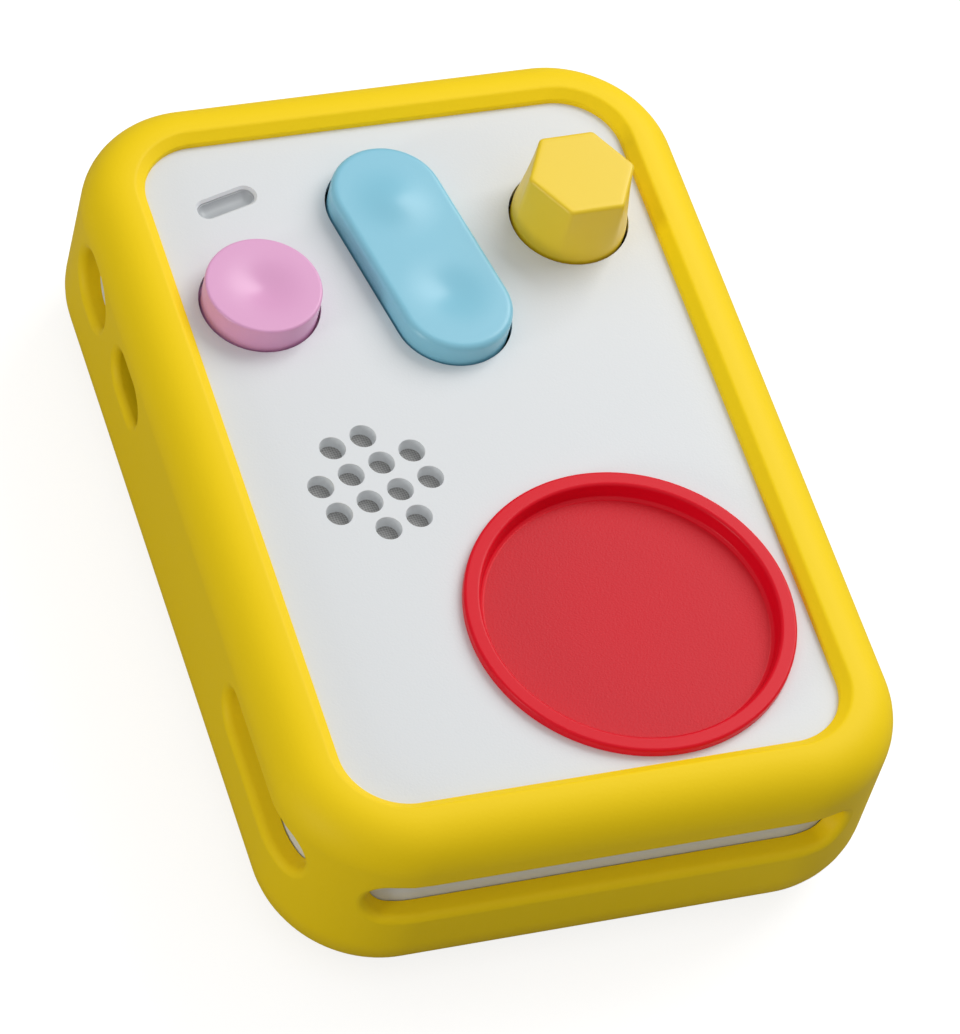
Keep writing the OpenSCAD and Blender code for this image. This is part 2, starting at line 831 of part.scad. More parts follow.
module play_spring() color("silver") {
    sides = 6;
    rings_per_turn = 16;
    z0 = board_z + spring_seat_gap + spring_wire_r;
    z1 = play_base_z - spring_seat_gap - spring_wire_r;
    count = spring_turns * rings_per_turn;
    points = [for (i = [0:count]) each
        coil_ring(360 * i / rings_per_turn, z0 + (z1 - z0) * i / count, sides)];
    sides_f = [for (i = [0:count - 1], k = [0:sides - 1]) let (n = (k + 1) % sides) each
        [[i * sides + k, (i + 1) * sides + k, (i + 1) * sides + n],
            [i * sides + k, (i + 1) * sides + n, i * sides + n]]];
    ends_f = [for (k = [1:sides - 2]) each
        [[0, k, k + 1], [count * sides, count * sides + k + 1, count * sides + k]]];
    at_play() polyhedron(points = points, faces = concat(sides_f, ends_f));
}

// Push switch on the board: square body and round stem
module push_switch() {
    case_h = switch_h - switch_stem_h;
    translate([-switch_w / 2, -switch_w / 2, board_z]) cube([switch_w, switch_w, case_h]);
    post(switch_stem_r, board_z + case_h - over, switch_z);
}

module play_switch() color("dimgray") at_play() push_switch();

// ---- Rocker ----

// Half section of a bell-shaped swell that rises to h and dies away at r
module bell_section(r, h) {
    steps = 12;
    polygon(concat([[0, -over], [r, -over]],
        [for (i = [steps:-1:0]) [r * i / steps, h * (1 + cos(180 * i / steps)) / 2]]));
}

module rocker_cap() color("skyblue") {
    top_z = face_z + rocker_h;
    at_rocker() difference() {
        union() {
            difference() {
                carried_stadium(rocker_run) difference() {
                    translate([0, rocker_base_z]) square([rocker_r, top_z - rocker_base_z]);
                    translate([rocker_r - rocker_edge_r, top_z - rocker_edge_r]) difference() {
                        square(rocker_edge_r + over);
                        circle(r = rocker_edge_r);
                    }
                }
                stadium_block(rocker_run, rocker_r - rocker_skin,
                    rocker_base_z - over, rocker_roof_z);
                // hollow at the lower end
                translate([0, -rocker_run / 2, top_z]) mirror([0, 0, 1])
                    rotate_extrude() bell_section(rocker_bell_r, rocker_dimple);
            }
            // swell at the upper end
            translate([0, rocker_run / 2, top_z])
                rotate_extrude() bell_section(rocker_bell_r, rocker_dimple);
            // hub across the middle for the pin
            translate([-rocker_r + rocker_skin / 2, -rocker_hub_w / 2, rocker_base_z])
                cube([2 * rocker_r - rocker_skin, rocker_hub_w,
                    rocker_roof_z + 0.5 - rocker_base_z]);
            for (s = [-1, 1]) translate([0, s * rocker_foot_at, 0])
                post(rocker_foot_r, rocker_foot_z, rocker_roof_z + 0.5);
        }
        translate([0, 0, rocker_pin_z]) rotate([0, 90, 0])
            cylinder(r = rocker_pin_r + running_gap, h = 2 * rocker_r + 2 * over, center = true);
    }
}

module rocker_pin() color("silver") {
    at_rocker() translate([0, 0, rocker_pin_z]) rotate([0, 90, 0])
        cylinder(r = rocker_pin_r, h = 2 * pin_half, center = true);
}

module rocker_switches() color("dimgray") {
    at_rocker() for (s = [-1, 1]) translate([0, s * rocker_foot_at, 0]) push_switch();
}

// ---- Knob ----

module volume_knob() color("goldenrod") {
    at_knob() rotate(knob_turn) difference() {
        union() {
            // six-sided at the top, round at the base
            hull() {
                for (a = [0:60:300]) rotate(a) translate([knob_hex_r - 1, 0, knob_top_z - 1])
                    cylinder(r1 = 1, r2 = 0.7, h = 1, $fn = 16);
                post(knob_r, face_z, face_z + 0.6, $fn = 48);
            }
            post(knob_r, knob_base_z, face_z + 0.3);
        }
        // hollow underneath, round the hub
        ring(knob_hub_r, knob_r - knob_shell_t, knob_base_z - over, face_z + 4);
        // seat for the flatted shaft
        difference() {
            post(shaft_r + running_gap, knob_base_z - over, shaft_top_z + 0.3);
            translate([shaft_flat + running_gap, -knob_r, shaft_flat_z + fit_gap])
                cube([knob_r, 2 * knob_r, knob_h]);
        }
    }
}

module pot_shaft() color("silver") {
    at_knob() rotate(knob_turn) difference() {
        post(shaft_r, shaft_foot_z, shaft_top_z);
        translate([shaft_flat, -shaft_r - over, shaft_flat_z])
            cube([shaft_r + over, 2 * (shaft_r + over), knob_h]);
    }
}

module pot_body() color("slategray") {
    at_knob() difference() {
        union() {
            translate([-pot_w / 2, -pot_w / 2, board_z]) cube([pot_w, pot_w, pot_h]);
            post(bush_r, board_z + pot_h - over, bush_top_z);
        }
        post(shaft_r + running_gap, shaft_foot_z - 0.1, bush_top_z + over);
    }
}

// ---- Main board ----

module main_board() color("darkgreen") {
    difference() {
        intersection() {
            slab(2 * board_half_w, body_l - 2 * (wall + board_gap),
                body_corner_r - wall - board_gap, board_under_z, board_z);
            translate([-body_w, board_low_y, board_under_z - over])
                cube([2 * body_w, board_l, board_t + 2 * over]);
        }
        at_bosses() post(boss_r + board_gap, board_under_z - over, board_z + over);
        at_board_posts() post(small_pilot_r + fit_gap, board_under_z - over, board_z + over);
    }
}

module board_screws() color("silver") {
    at_board_posts() small_screw(board_under_z, board_screw_l);
}

module processor_can() color("lightgray") {
    translate([can_at[0], can_at[1], board_under_z - can_h]) difference() {
        translate([-can_w / 2, -can_l / 2, 0]) cube([can_w, can_l, can_h]);
        // stepped edge of the lid
        translate([-can_w / 2 - over, -can_l / 2 - over, -over]) difference() {
            cube([can_w + 2 * over, can_l + 2 * over, over + can_lid_h]);
            translate([over + can_lid_step, over + can_lid_step, -over])
                cube([can_w - 2 * can_lid_step, can_l - 2 * can_lid_step, 3 * over + can_lid_h]);
        }
    }
}

// ---- Status light ----

module light_pipe() color("lightgray") {
    lens_z = face_z - light_depth;
    lens_r = light_hole_r - fit_gap / 3;
    trough_w = lens_r - lens_rim;
    trough_r = (trough_w * trough_w + lens_trough * lens_trough) / (2 * lens_trough);
    translate([light_at[0], light_at[1], 0]) rotate(light_turn - 90) difference() {
        union() {
            stadium_block(light_run, lens_r, ceiling_z - 0.4, lens_z);
            stadium_block(light_run, light_w / 2 + 0.5, ceiling_z - 1, ceiling_z);
            post(1.5, board_z + 1.6, ceiling_z - 0.5);
        }
        // smooth trough along the lens
        carried_stadium(light_run) translate([0, lens_z + trough_r - lens_trough])
            intersection() {
                circle(r = trough_r);
                translate([0, -2 * trough_r]) square([2 * trough_r, 4 * trough_r]);
            }
    }
}

module status_led() color("ivory") {
    translate([light_at[0], light_at[1], 0]) {
        translate([-1.75, -1.4, board_z]) cube([3.5, 2.8, 1]);
        post(1.1, board_z + 0.9, board_z + 1.3);
    }
}

// ---- Loudspeaker ----

module speaker_cloth() color("gray") at_speaker() post(speaker_r, cloth_z, ceiling_z);

module speaker_gasket() color("black") {
    at_speaker() ring(speaker_r - gasket_w, speaker_r, gasket_z, cloth_z);
}

module speaker_frame() color("darkgray") {
    at_speaker() difference() {
        union() {
            post(speaker_r, frame_z, gasket_z);
            translate([0, 0, basket_z])
                cylinder(r1 = basket_low_r, r2 = speaker_r - 1, h = basket_h + frame_t / 2);
            // solder tags
            for (s = [-1, 1]) translate([s * lead_pitch - 0.6, 0, basket_z + 1])
                cube([1.2, speaker_r, 0.8]);
        }
        translate([0, 0, basket_z + 0.8])
            cylinder(r1 = basket_low_r - 0.8, r2 = speaker_r - 1.9, h = basket_h);
        // ledge for the surround's lip
        post(speaker_r - 1.9, frame_z, gasket_z + over);
        post(surround_lip_r + 0.05, surround_z, gasket_z + over);
        post(cone_in_r + 1.5, basket_z - over, basket_z + 2);
        // windows in the basket
        for (a = [45:90:315]) rotate(a) translate([basket_low_r - 2.5, -3, basket_z + 1.3])
            cube([8, 6, basket_h - 2]);
    }
}

module speaker_surround() color("black") {
    roll_at = cone_out_r + surround_roll_r - surround_t / 2;
    at_speaker() rotate_extrude() translate([0, surround_z]) {
        translate([roll_at, 0]) intersection() {
            difference() {
                circle(r = surround_roll_r + surround_t / 2);
                circle(r = surround_roll_r - surround_t / 2);
            }
            translate([-2, 0]) square([4, 2]);
        }
        translate([cone_out_r - 0.6, 0]) square([0.6, surround_t]);
        translate([roll_at + surround_roll_r, 0])
            square([surround_lip_r - roll_at - surround_roll_r, surround_t]);
    }
}

module speaker_cone() color("dimgray") {
    z_low = basket_z + 2;
    at_speaker() rotate_extrude() {
        polygon([[cone_in_r - 0.4, z_low - 1.6], [cone_in_r, z_low - 1.6], [cone_in_r, z_low - 0.3],
            [cone_out_r - 0.6, surround_z - 0.4], [cone_out_r, surround_z - 0.4],
            [cone_out_r, surround_z], [cone_out_r - 0.7, surround_z], [cone_in_r, z_low + 0.2],
            [cone_in_r - 0.4, z_low + 0.2]]);
        // dust cap
        translate([0, z_low + 0.2]) intersection() {
            translate([0, -2.6]) difference() {
                circle(r = dust_cap_r);
                circle(r = dust_cap_r - dust_cap_t);
            }
            square([cone_in_r + 0.2, dust_cap_r]);
        }
    }
}

module speaker_magnet() color("silver") {
    at_speaker() difference() {
        union() {
            post(basket_low_r - 1, speaker_bottom_z, basket_z);
            post(basket_low_r - 2.5, speaker_bottom_z - 0.4, basket_z - over);
        }
        ring(cone_in_r - 0.7, cone_in_r + 0.3, basket_z - 2, basket_z + over);
    }
}

// ---- Leads ----

// Straight lead along +Y, starting at the origin
module lead_run(l, r = lead_r) {
    rotate([-90, 0, 0]) cylinder(r = r, h = l);
}

// Quarter turn from +Y to +Z, starting at the origin
module lead_bend(r = lead_r) {
    translate([0, 0, lead_bend_r]) rotate([0, -90, 0]) rotate(180)
        mirror([0, 1, 0]) rotate_extrude(angle = 90) translate([lead_bend_r, 0]) circle(r = r);
}

// Lead that leaves along +Y, climbs and goes on along +Y to its end
module stepped_lead(out, rise, reach) {
    on = reach - out - 2 * lead_bend_r;
    lead_run(out);
    translate([0, out, 0]) lead_bend();
    translate([0, out + lead_bend_r, lead_bend_r]) cylinder(r = lead_r, h = rise - 2 * lead_bend_r);
    translate([0, out + 2 * lead_bend_r, rise]) rotate(180) mirror([0, 0, 1]) lead_bend();
    translate([0, out + 2 * lead_bend_r, rise]) lead_run(on);
}

// Lead that leaves along +Y and turns down by drop
module hooked_lead(out, drop, r = lead_r) {
    lead_run(out, r);
    translate([0, out, 0]) mirror([0, 0, 1]) lead_bend(r);
    translate([0, out + lead_bend_r, -drop]) cylinder(r = r, h = drop - lead_bend_r);
}

module speaker_leads() color("firebrick") {
    start_y = speaker_at[1] + speaker_r;
    tag_z = basket_z + 1.4;
    out = max(lead_out, board_low_y + lead_land - start_y - lead_bend_r);
    for (s = [-1, 1]) translate([speaker_at[0] + s * lead_pitch, start_y, tag_z])
        hooked_lead(out, tag_z - board_z);
}

module battery_leads() color("firebrick") {
    start_y = battery_y + battery_l / 2;
    for (s = [-0.5, 0.5]) translate([plug_at[0] + s * lead_pitch, start_y, lead_low_z])
        stepped_lead(lead_out, lead_high_z - lead_low_z, plug_low_y - start_y);
}

module antenna_lead() color("black") {
    start_y = dish_at[1] + antenna_r;
    lead_z = antenna_z + antenna_t / 2;
    out = max(lead_out, board_low_y + lead_land - start_y - lead_bend_r);
    translate([dish_at[0], start_y, lead_z]) hooked_lead(out, lead_z - board_z, antenna_lead_r);
}

// ---- Sockets ----

module headphone_jack() color("dimgray") {
    mouth_x = side_x + socket_recess;
    body_x = side_x + wall + fit_gap;
    difference() {
        union() {
            translate([body_x, jack_y - jack_w / 2, board_z])
                cube([mouth_x + jack_bore_l + 1 - body_x, jack_w, jack_h]);
            translate([mouth_x, jack_y, jack_z]) rotate([0, 90, 0])
                cylinder(r = jack_nose_r - 0.6, h = body_x - mouth_x + 0.5);
            translate([mouth_x, jack_y, jack_z]) rotate([0, 90, 0])
                cylinder(r = jack_nose_r, h = body_x - mouth_x + 0.5);
        }
        translate([mouth_x - over, jack_y, jack_z]) rotate([0, 90, 0])
            cylinder(r = jack_bore_r, h = jack_bore_l + over);
    }
}

module usb_port() color("silver") {
    mouth_x = side_x + socket_recess;
    difference() {
        union() {
            translate([mouth_x, usb_y, usb_z]) rotate([0, 90, 0])
                stadium_block(usb_w - usb_h, usb_h / 2, 0, usb_l);
            // feet down to the board
            for (s = [-1, 1]) translate([side_x + wall + 1, usb_y + s * 3 - 0.4, board_z])
                cube([4, 0.8, usb_z - board_z - usb_h / 2 + usb_skin / 2]);
        }
        translate([mouth_x - over, usb_y, usb_z]) rotate([0, 90, 0])
            stadium_block(usb_w - usb_h, usb_h / 2 - usb_skin, 0, usb_l - 1 + over);
    }
    // tongue with the contacts
    translate([mouth_x + 0.8, usb_y - usb_tongue_w / 2, usb_z - usb_tongue_t / 2])
        cube([usb_l - 1.2, usb_tongue_w, usb_tongue_t]);
}

// ---- Battery ----

module battery_pack() color("royalblue") {
    translate([0, battery_y, 0])
        slab(battery_w, battery_l, battery_edge_r, battery_z, battery_z + battery_h);
}

module battery_pad() color("black") {
    translate([0, battery_y, 0])
        slab(battery_w - 6, battery_l - 6, 1, floor_z, battery_z);
}

module battery_connector() color("ivory") {
    translate([plug_at[0] - plug_w / 2, plug_at[1] - plug_l / 2, board_under_z - plug_h])
        cube([plug_w, plug_l, plug_h]);
}

bumper_sleeve();
front_shell();
rear_shell();
rear_screws();
token_dish();
antenna_board();
dish_magnets();
dish_backplate();
dish_screws();
play_button();
play_spring();
play_switch();
rocker_cap();
rocker_pin();
rocker_switches();
volume_knob();
pot_shaft();
pot_body();
main_board();
board_screws();
processor_can();
light_pipe();
status_led();
speaker_cloth();
speaker_gasket();
speaker_frame();
speaker_surround();
speaker_cone();
speaker_magnet();
speaker_leads();
headphone_jack();
usb_port();
battery_pack();
battery_pad();
battery_connector();
battery_leads();
antenna_lead();
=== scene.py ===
"""Looks of the audio story player: sleeve, face, controls, token dish and the parts inside."""

import math

import bmesh
import bpy
from bpy.props import FloatProperty, FloatVectorProperty, PointerProperty
from mathutils import Matrix, Quaternion, Vector


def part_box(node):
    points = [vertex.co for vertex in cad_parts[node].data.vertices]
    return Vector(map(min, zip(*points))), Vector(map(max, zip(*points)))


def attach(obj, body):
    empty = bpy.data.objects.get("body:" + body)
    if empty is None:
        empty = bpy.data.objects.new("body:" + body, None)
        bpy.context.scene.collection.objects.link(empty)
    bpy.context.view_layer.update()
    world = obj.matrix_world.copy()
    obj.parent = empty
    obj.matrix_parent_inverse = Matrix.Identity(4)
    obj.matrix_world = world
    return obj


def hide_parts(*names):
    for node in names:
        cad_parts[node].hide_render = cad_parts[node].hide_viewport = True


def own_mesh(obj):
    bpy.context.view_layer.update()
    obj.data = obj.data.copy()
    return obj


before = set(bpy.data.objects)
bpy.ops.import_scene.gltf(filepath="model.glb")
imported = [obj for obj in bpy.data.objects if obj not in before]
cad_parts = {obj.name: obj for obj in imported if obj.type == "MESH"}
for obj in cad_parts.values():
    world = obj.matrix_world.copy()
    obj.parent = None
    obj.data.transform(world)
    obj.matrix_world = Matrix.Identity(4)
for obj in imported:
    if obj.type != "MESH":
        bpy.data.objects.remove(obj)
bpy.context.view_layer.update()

bl_info = {
    "name": "Audio story player",
    "version": (1, 0, 0),
    "blender": (4, 5, 0),
    "location": "3D View > Sidebar > Story player",
    "description": "Builds the looks of an audio story player for small children",
    "category": "Object",
}

MM = 0.001
FACE_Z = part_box("front_shell")[1].z
CREST_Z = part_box("bumper_sleeve")[1].z

# Widths of the bell curves, as shares of their radius
HOLLOW_SPREAD = 0.41
SWELL_SPREAD = 0.5

# Soft lights: bearing and elevation in degrees, distance and width in metres
MAIN_LIGHT = {"bearing": 32, "elevation": 40, "distance": 1.2, "width": 0.8}
FILL_LIGHT = {"bearing": -164, "elevation": 10, "distance": 1.6, "width": 0.3}


def size(name, text, default, **more):
    """A length that a user may change, in millimetres here and in metres in Blender."""
    return FloatProperty(
        name=name, description=text, default=default * MM, unit="LENGTH",
        precision=5, **more,
    )


def colour(name, text, red, green, blue):
    """A colour, written as seen on a screen from 0 to 255."""
    return FloatVectorProperty(
        name=name, description=text, subtype="COLOR", size=3, min=0, max=1,
        default=[linear(c) for c in (red, green, blue)],
    )


def linear(level):
    part = level / 255
    return part / 12.92 if part <= 0.04045 else ((part + 0.055) / 1.055) ** 2.4


# ---- Sizes and colours ----


class SleeveSizes(bpy.types.PropertyGroup):
    """Soft sleeve round the player."""

    corner: size("Corner", "Outer corner radius, seen from the front", 19.5)
    wall: size("Wall", "Thickness of the side walls with their gap", 3.5)
    cavity: size("Cavity corner", "Corner radius of the room for the body", 16.0)
    base: size("Base", "Thickness under the back", 3.0)
    top_round: size("Top rounding", "Rounding of the front outer edge", 7.3)
    bottom_round: size("Bottom rounding", "Rounding of the back outer edge", 11.9)
    lip_corner: size("Lip corner", "Corner radius of the front opening", 9.9)
    lip_step: size("Lip step", "Height of the lip's upright inner wall", 0.9)
    lip_bevel: size("Lip bevel", "Width of the bevel inside the lip", 1.7)
    back_corner: size("Back corner", "Corner radius of the back opening", 4.8)
    window_round: size("Window rounding", "Rounding of the windows' edges", 1.4)
    yellow: colour("Yellow", "Colour of the silicone", 255, 218, 0)


class FaceLook(bpy.types.PropertyGroup):
    """Rigid white body."""

    white: colour("White", "Colour of the housing", 226, 229, 231)
    lens: colour("Lens", "Colour of the status light's lens", 203, 207, 210)
    cloth: colour("Cloth", "Colour of the cloth behind the holes", 150, 150, 149)


class ButtonSizes(bpy.types.PropertyGroup):
    """Round push button."""

    radius: size("Radius", "Radius of the cap", 9.33)
    rim: size("Rim", "Rounding of the upper edge", 0.45)
    hollow: size("Hollow", "Depth of the hollow in the top", 1.1)
    stem: size("Stem", "Radius of the stem under the cap", 2.2)
    flange: size("Flange", "Reach of the flange that holds the cap in the body", 1.62)
    flange_height: size("Flange height", "Thickness of the flange", 1.5)
    pink: colour("Pink", "Colour of the button", 232, 168, 211)


class RockerSizes(bpy.types.PropertyGroup):
    """Long rocker button."""

    radius: size("Radius", "Radius of the ends", 9.2)
    run: size("Run", "Distance between the end centres", 23.7)
    rim: size("Rim", "Rounding of the upper edge", 1.1)
    swell: size("Swell", "Height of the upper end's swell, depth of the lower end's hollow", 0.8)
    swell_radius: size("Swell radius", "Radius at which the swell and the hollow die away", 7.8)
    swell_place: size("Swell place", "Distance of the swell and the hollow from the middle", 9.4)
    wall: size("Wall", "Wall of the hollow underside", 1.5)
    skirt: size("Skirt", "Reach of the walls below the pin's middle", 2.5)
    foot_radius: size("Foot radius", "Radius of the two feet on the switches", 2.0)
    foot_place: size("Foot place", "Distance of the feet from the middle", 10.0)
    hub_length: size("Hub length", "Length of the block round the pin", 7.0)
    lean: FloatProperty(
        name="Lean", description="Turn of the rocker on the face",
        default=math.radians(10.4), subtype="ANGLE",
    )
    blue: colour("Blue", "Colour of the rocker", 137, 203, 225)


class KnobSizes(bpy.types.PropertyGroup):
    """Volume knob, round below and six-sided above."""

    base_radius: size("Base radius", "Radius of the round base", 9.4)
    corner_reach: size("Corner reach", "Reach of the corners of the top", 8.95)
    corner_round: size("Corner rounding", "Rounding of the six upright edges", 0.9)
    rim: size("Rim", "Rounding of the upper edge", 0.65)
    wall: size("Wall", "Wall of the hollow underside", 1.6)
    shaft_hole: size("Shaft hole", "Radius of the hole for the shaft", 3.05)
    hub_wall: size("Hub wall", "Wall of the hub round the shaft", 2.0)
    hollow_top: size("Hollow top", "Height of the hollow above the face", 4.0)
    turn: FloatProperty(
        name="Turn", description="Turn of the knob at rest",
        default=math.radians(1), subtype="ANGLE",
    )
    mustard: colour("Mustard", "Colour of the knob", 248, 213, 40)


class DishSizes(bpy.types.PropertyGroup):
    """Dish that takes the story tokens."""

    cup_radius: size("Cup radius", "Radius of the cup below the face", 24.4)
    ring_radius: size("Ring radius", "Outer radius of the ring", 26.0)
    ring_width: size("Ring width", "Width of the ring", 2.6)
    depth: size("Depth", "Depth of the floor below the face", 1.2)
    cove_width: size("Cove width", "Width of the small cove round the floor", 0.5)
    cove_height: size("Cove height", "Height of the cove", 0.3)
    # Outside this radius the floor's edge band and the cove take the ring's less glossy, more
    # saturated red: painted shade of the ring wall's shadow on the floor.
    grained_radius: size("Grained radius", "Radius of the grained part of the floor", 22.3)
    draft: size("Draft", "Lean of the ring's inner wall", 0.4)
    red: colour("Red", "Colour of the ring", 226, 8, 34)
    floor_red: colour("Floor red", "Colour of the grained floor", 213, 8, 32)


class StageSizes(bpy.types.PropertyGroup):
    """Camera and light."""

    target: FloatVectorProperty(
        name="Target", description="Point that the camera looks at",
        default=(-0.00532, -0.01430, 0.0355), subtype="TRANSLATION", unit="LENGTH",
    )
    distance: size("Distance", "Distance of the camera from its target", 915.7)
    bearing: FloatProperty(
        name="Bearing", description="Turn of the camera round the player",
        default=math.radians(-31.12), subtype="ANGLE",
    )
    elevation: FloatProperty(
        name="Elevation", description="Height angle of the camera",
        default=math.radians(52.35), subtype="ANGLE",
    )
    roll: FloatProperty(
        name="Roll", description="Turn of the camera about its own line of sight",
        default=math.radians(17.14), subtype="ANGLE",
    )
    lens: FloatProperty(
        name="Lens", description="Focal length in millimetres for a 36 mm sensor",
        default=207.43, min=20, max=400,
    )
    key_power: FloatProperty(
        name="Main light", description="Power of the soft light from the right",
        default=8.7, min=0, max=100, unit="POWER",
    )
    fill_power: FloatProperty(
        name="Fill light", description="Power of the soft light from the left",
        default=5.4, min=0, max=100, unit="POWER",
    )
    horizon_level: FloatProperty(
        name="Horizon", description="Level of the light from the sides of the room",
        default=0.1, min=0, max=2,
    )
    ceiling_level: FloatProperty(
        name="Ceiling", description="Level of the light from straight above",
        default=0.75, min=0, max=2,
    )


SETTINGS = {
    "player_sleeve": SleeveSizes,
    "player_face": FaceLook,
    "player_button": ButtonSizes,
    "player_rocker": RockerSizes,
    "player_knob": KnobSizes,
    "player_dish": DishSizes,
    "player_stage": StageSizes,
}


# ---- Node groups that the materials share ----


def node_of(tree, kind, **values):
    """A node with its named inputs and attributes set."""
    node = tree.nodes.new(kind)
    for key, value in values.items():
        if key in node.inputs:
            node.inputs[key].default_value = value
        else:
            setattr(node, key, value)
    return node


def new_group(name, inputs, outputs):
    """An empty shader group with these sockets: (name, kind, default) and (name, kind)."""
    tree = bpy.data.node_groups.new(name, "ShaderNodeTree")
    for label, kind, default in inputs:
        socket = tree.interface.new_socket(label, in_out="INPUT", socket_type=kind)
        if default is not None:
            socket.default_value = default
    for label, kind in outputs:
        tree.interface.new_socket(label, in_out="OUTPUT", socket_type=kind)
    return tree, tree.nodes.new("NodeGroupInput"), tree.nodes.new("NodeGroupOutput")


def moulded_skin():
    """Moulded surface: a fine grain over a slow change of tone."""
    found = bpy.data.node_groups.get("moulded_skin")
    if found:
        return found
    tree, given, made = new_group(
        "moulded_skin",
        [
            ("Place", "NodeSocketVector", None),
            ("Colour", "NodeSocketColor", (0.8, 0.8, 0.8, 1)),
            ("Tone change", "NodeSocketFloat", 0.03),
            ("Grain per metre", "NodeSocketFloat", 3000.0),
            ("Roughness", "NodeSocketFloat", 0.5),
            ("Roughness change", "NodeSocketFloat", 0.06),
        ],
        [
            ("Colour", "NodeSocketColor"),
            ("Roughness", "NodeSocketFloat"),
            ("Height", "NodeSocketFloat"),
        ],
    )
    link = tree.links.new
    slow = node_of(tree, "ShaderNodeTexNoise", Scale=34.0, Detail=2.0, Roughness=0.45)
    grain = node_of(tree, "ShaderNodeTexNoise", Detail=2.0, Roughness=0.6)
    pits = node_of(tree, "ShaderNodeTexVoronoi", feature="SMOOTH_F1", Smoothness=0.6)
    link(given.outputs["Place"], slow.inputs["Vector"])
    link(given.outputs["Place"], grain.inputs["Vector"])
    link(given.outputs["Place"], pits.inputs["Vector"])
    link(given.outputs["Grain per metre"], grain.inputs["Scale"])
    link(given.outputs["Grain per metre"], pits.inputs["Scale"])
    mixed = node_of(tree, "ShaderNodeMath", operation="MULTIPLY_ADD")
    mixed.inputs[1].default_value = 0.5
    link(pits.outputs["Distance"], mixed.inputs[0])
    link(grain.outputs["Fac"], mixed.inputs[2])
    link(mixed.outputs["Value"], made.inputs["Height"])

    both = node_of(tree, "ShaderNodeMath", operation="MULTIPLY_ADD")
    both.inputs[1].default_value = 0.35
    link(grain.outputs["Fac"], both.inputs[0])
    link(slow.outputs["Fac"], both.inputs[2])
    centred = node_of(tree, "ShaderNodeMath", operation="SUBTRACT")
    centred.inputs[1].default_value = 0.675
    link(both.outputs["Value"], centred.inputs[0])
    tone = node_of(tree, "ShaderNodeMath", operation="MULTIPLY_ADD")
    tone.inputs[2].default_value = 1.0
    link(centred.outputs["Value"], tone.inputs[0])
    link(given.outputs["Tone change"], tone.inputs[1])
    shaded = node_of(tree, "ShaderNodeVectorMath", operation="SCALE")
    link(given.outputs["Colour"], shaded.inputs["Vector"])
    link(tone.outputs["Value"], shaded.inputs["Scale"])
    link(shaded.outputs["Vector"], made.inputs["Colour"])
    rough = node_of(tree, "ShaderNodeMath", operation="MULTIPLY_ADD")
    link(centred.outputs["Value"], rough.inputs[0])
    link(given.outputs["Roughness change"], rough.inputs[1])
    link(given.outputs["Roughness"], rough.inputs[2])
    link(rough.outputs["Value"], made.inputs["Roughness"])
    return tree


def drawn_metal():
    """Metal with fine lines along one direction and faint stains."""
    found = bpy.data.node_groups.get("drawn_metal")
    if found:
        return found
    tree, given, made = new_group(
        "drawn_metal",
        [
            ("Place", "NodeSocketVector", None),
            ("Colour", "NodeSocketColor", (0.7, 0.7, 0.7, 1)),
            ("Roughness", "NodeSocketFloat", 0.3),
        ],
        [
            ("Colour", "NodeSocketColor"),
            ("Roughness", "NodeSocketFloat"),
            ("Height", "NodeSocketFloat"),
        ],
    )
    link = tree.links.new
    along = node_of(tree, "ShaderNodeMapping", Scale=(1.0, 14.0, 14.0))
    lines = node_of(tree, "ShaderNodeTexNoise", Scale=700.0, Detail=3.0)
    stains = node_of(tree, "ShaderNodeTexNoise", Scale=160.0, Detail=4.0)
    link(given.outputs["Place"], along.inputs["Vector"])
    link(given.outputs["Place"], stains.inputs["Vector"])
    link(along.outputs["Vector"], lines.inputs["Vector"])
    link(lines.outputs["Fac"], made.inputs["Height"])
    darker = node_of(tree, "ShaderNodeMapRange")
    darker.inputs["From Min"].default_value = 0.3
    darker.inputs["From Max"].default_value = 0.7
    darker.inputs["To Min"].default_value = 0.82
    darker.inputs["To Max"].default_value = 1.06
    link(stains.outputs["Fac"], darker.inputs["Value"])
    shaded = node_of(tree, "ShaderNodeVectorMath", operation="SCALE")
    link(given.outputs["Colour"], shaded.inputs["Vector"])
    link(darker.outputs["Result"], shaded.inputs["Scale"])
    link(shaded.outputs["Vector"], made.inputs["Colour"])
    rough = node_of(tree, "ShaderNodeMath", operation="MULTIPLY_ADD")
    rough.inputs[1].default_value = 0.2
    link(lines.outputs["Fac"], rough.inputs[0])
    link(given.outputs["Roughness"], rough.inputs[2])
    link(rough.outputs["Value"], made.inputs["Roughness"])
    return tree


# ---- Materials ----


def blank_material(name):
    """A material with its shader, and its Object coordinates ready to link."""
    made = bpy.data.materials.new(name)
    made.use_nodes = True
    tree = made.node_tree
    shader = tree.nodes["Principled BSDF"]
    place = tree.nodes.new("ShaderNodeTexCoord").outputs["Object"]
    return made, tree, shader, place


def raise_bump(tree, shader, height, depth):
    """Feeds a height into the shader's normal, with its depth in metres."""
    bump = node_of(tree, "ShaderNodeBump", Strength=1.0, Distance=depth)
    tree.links.new(height, bump.inputs["Height"])
    tree.links.new(bump.outputs["Normal"], shader.inputs["Normal"])


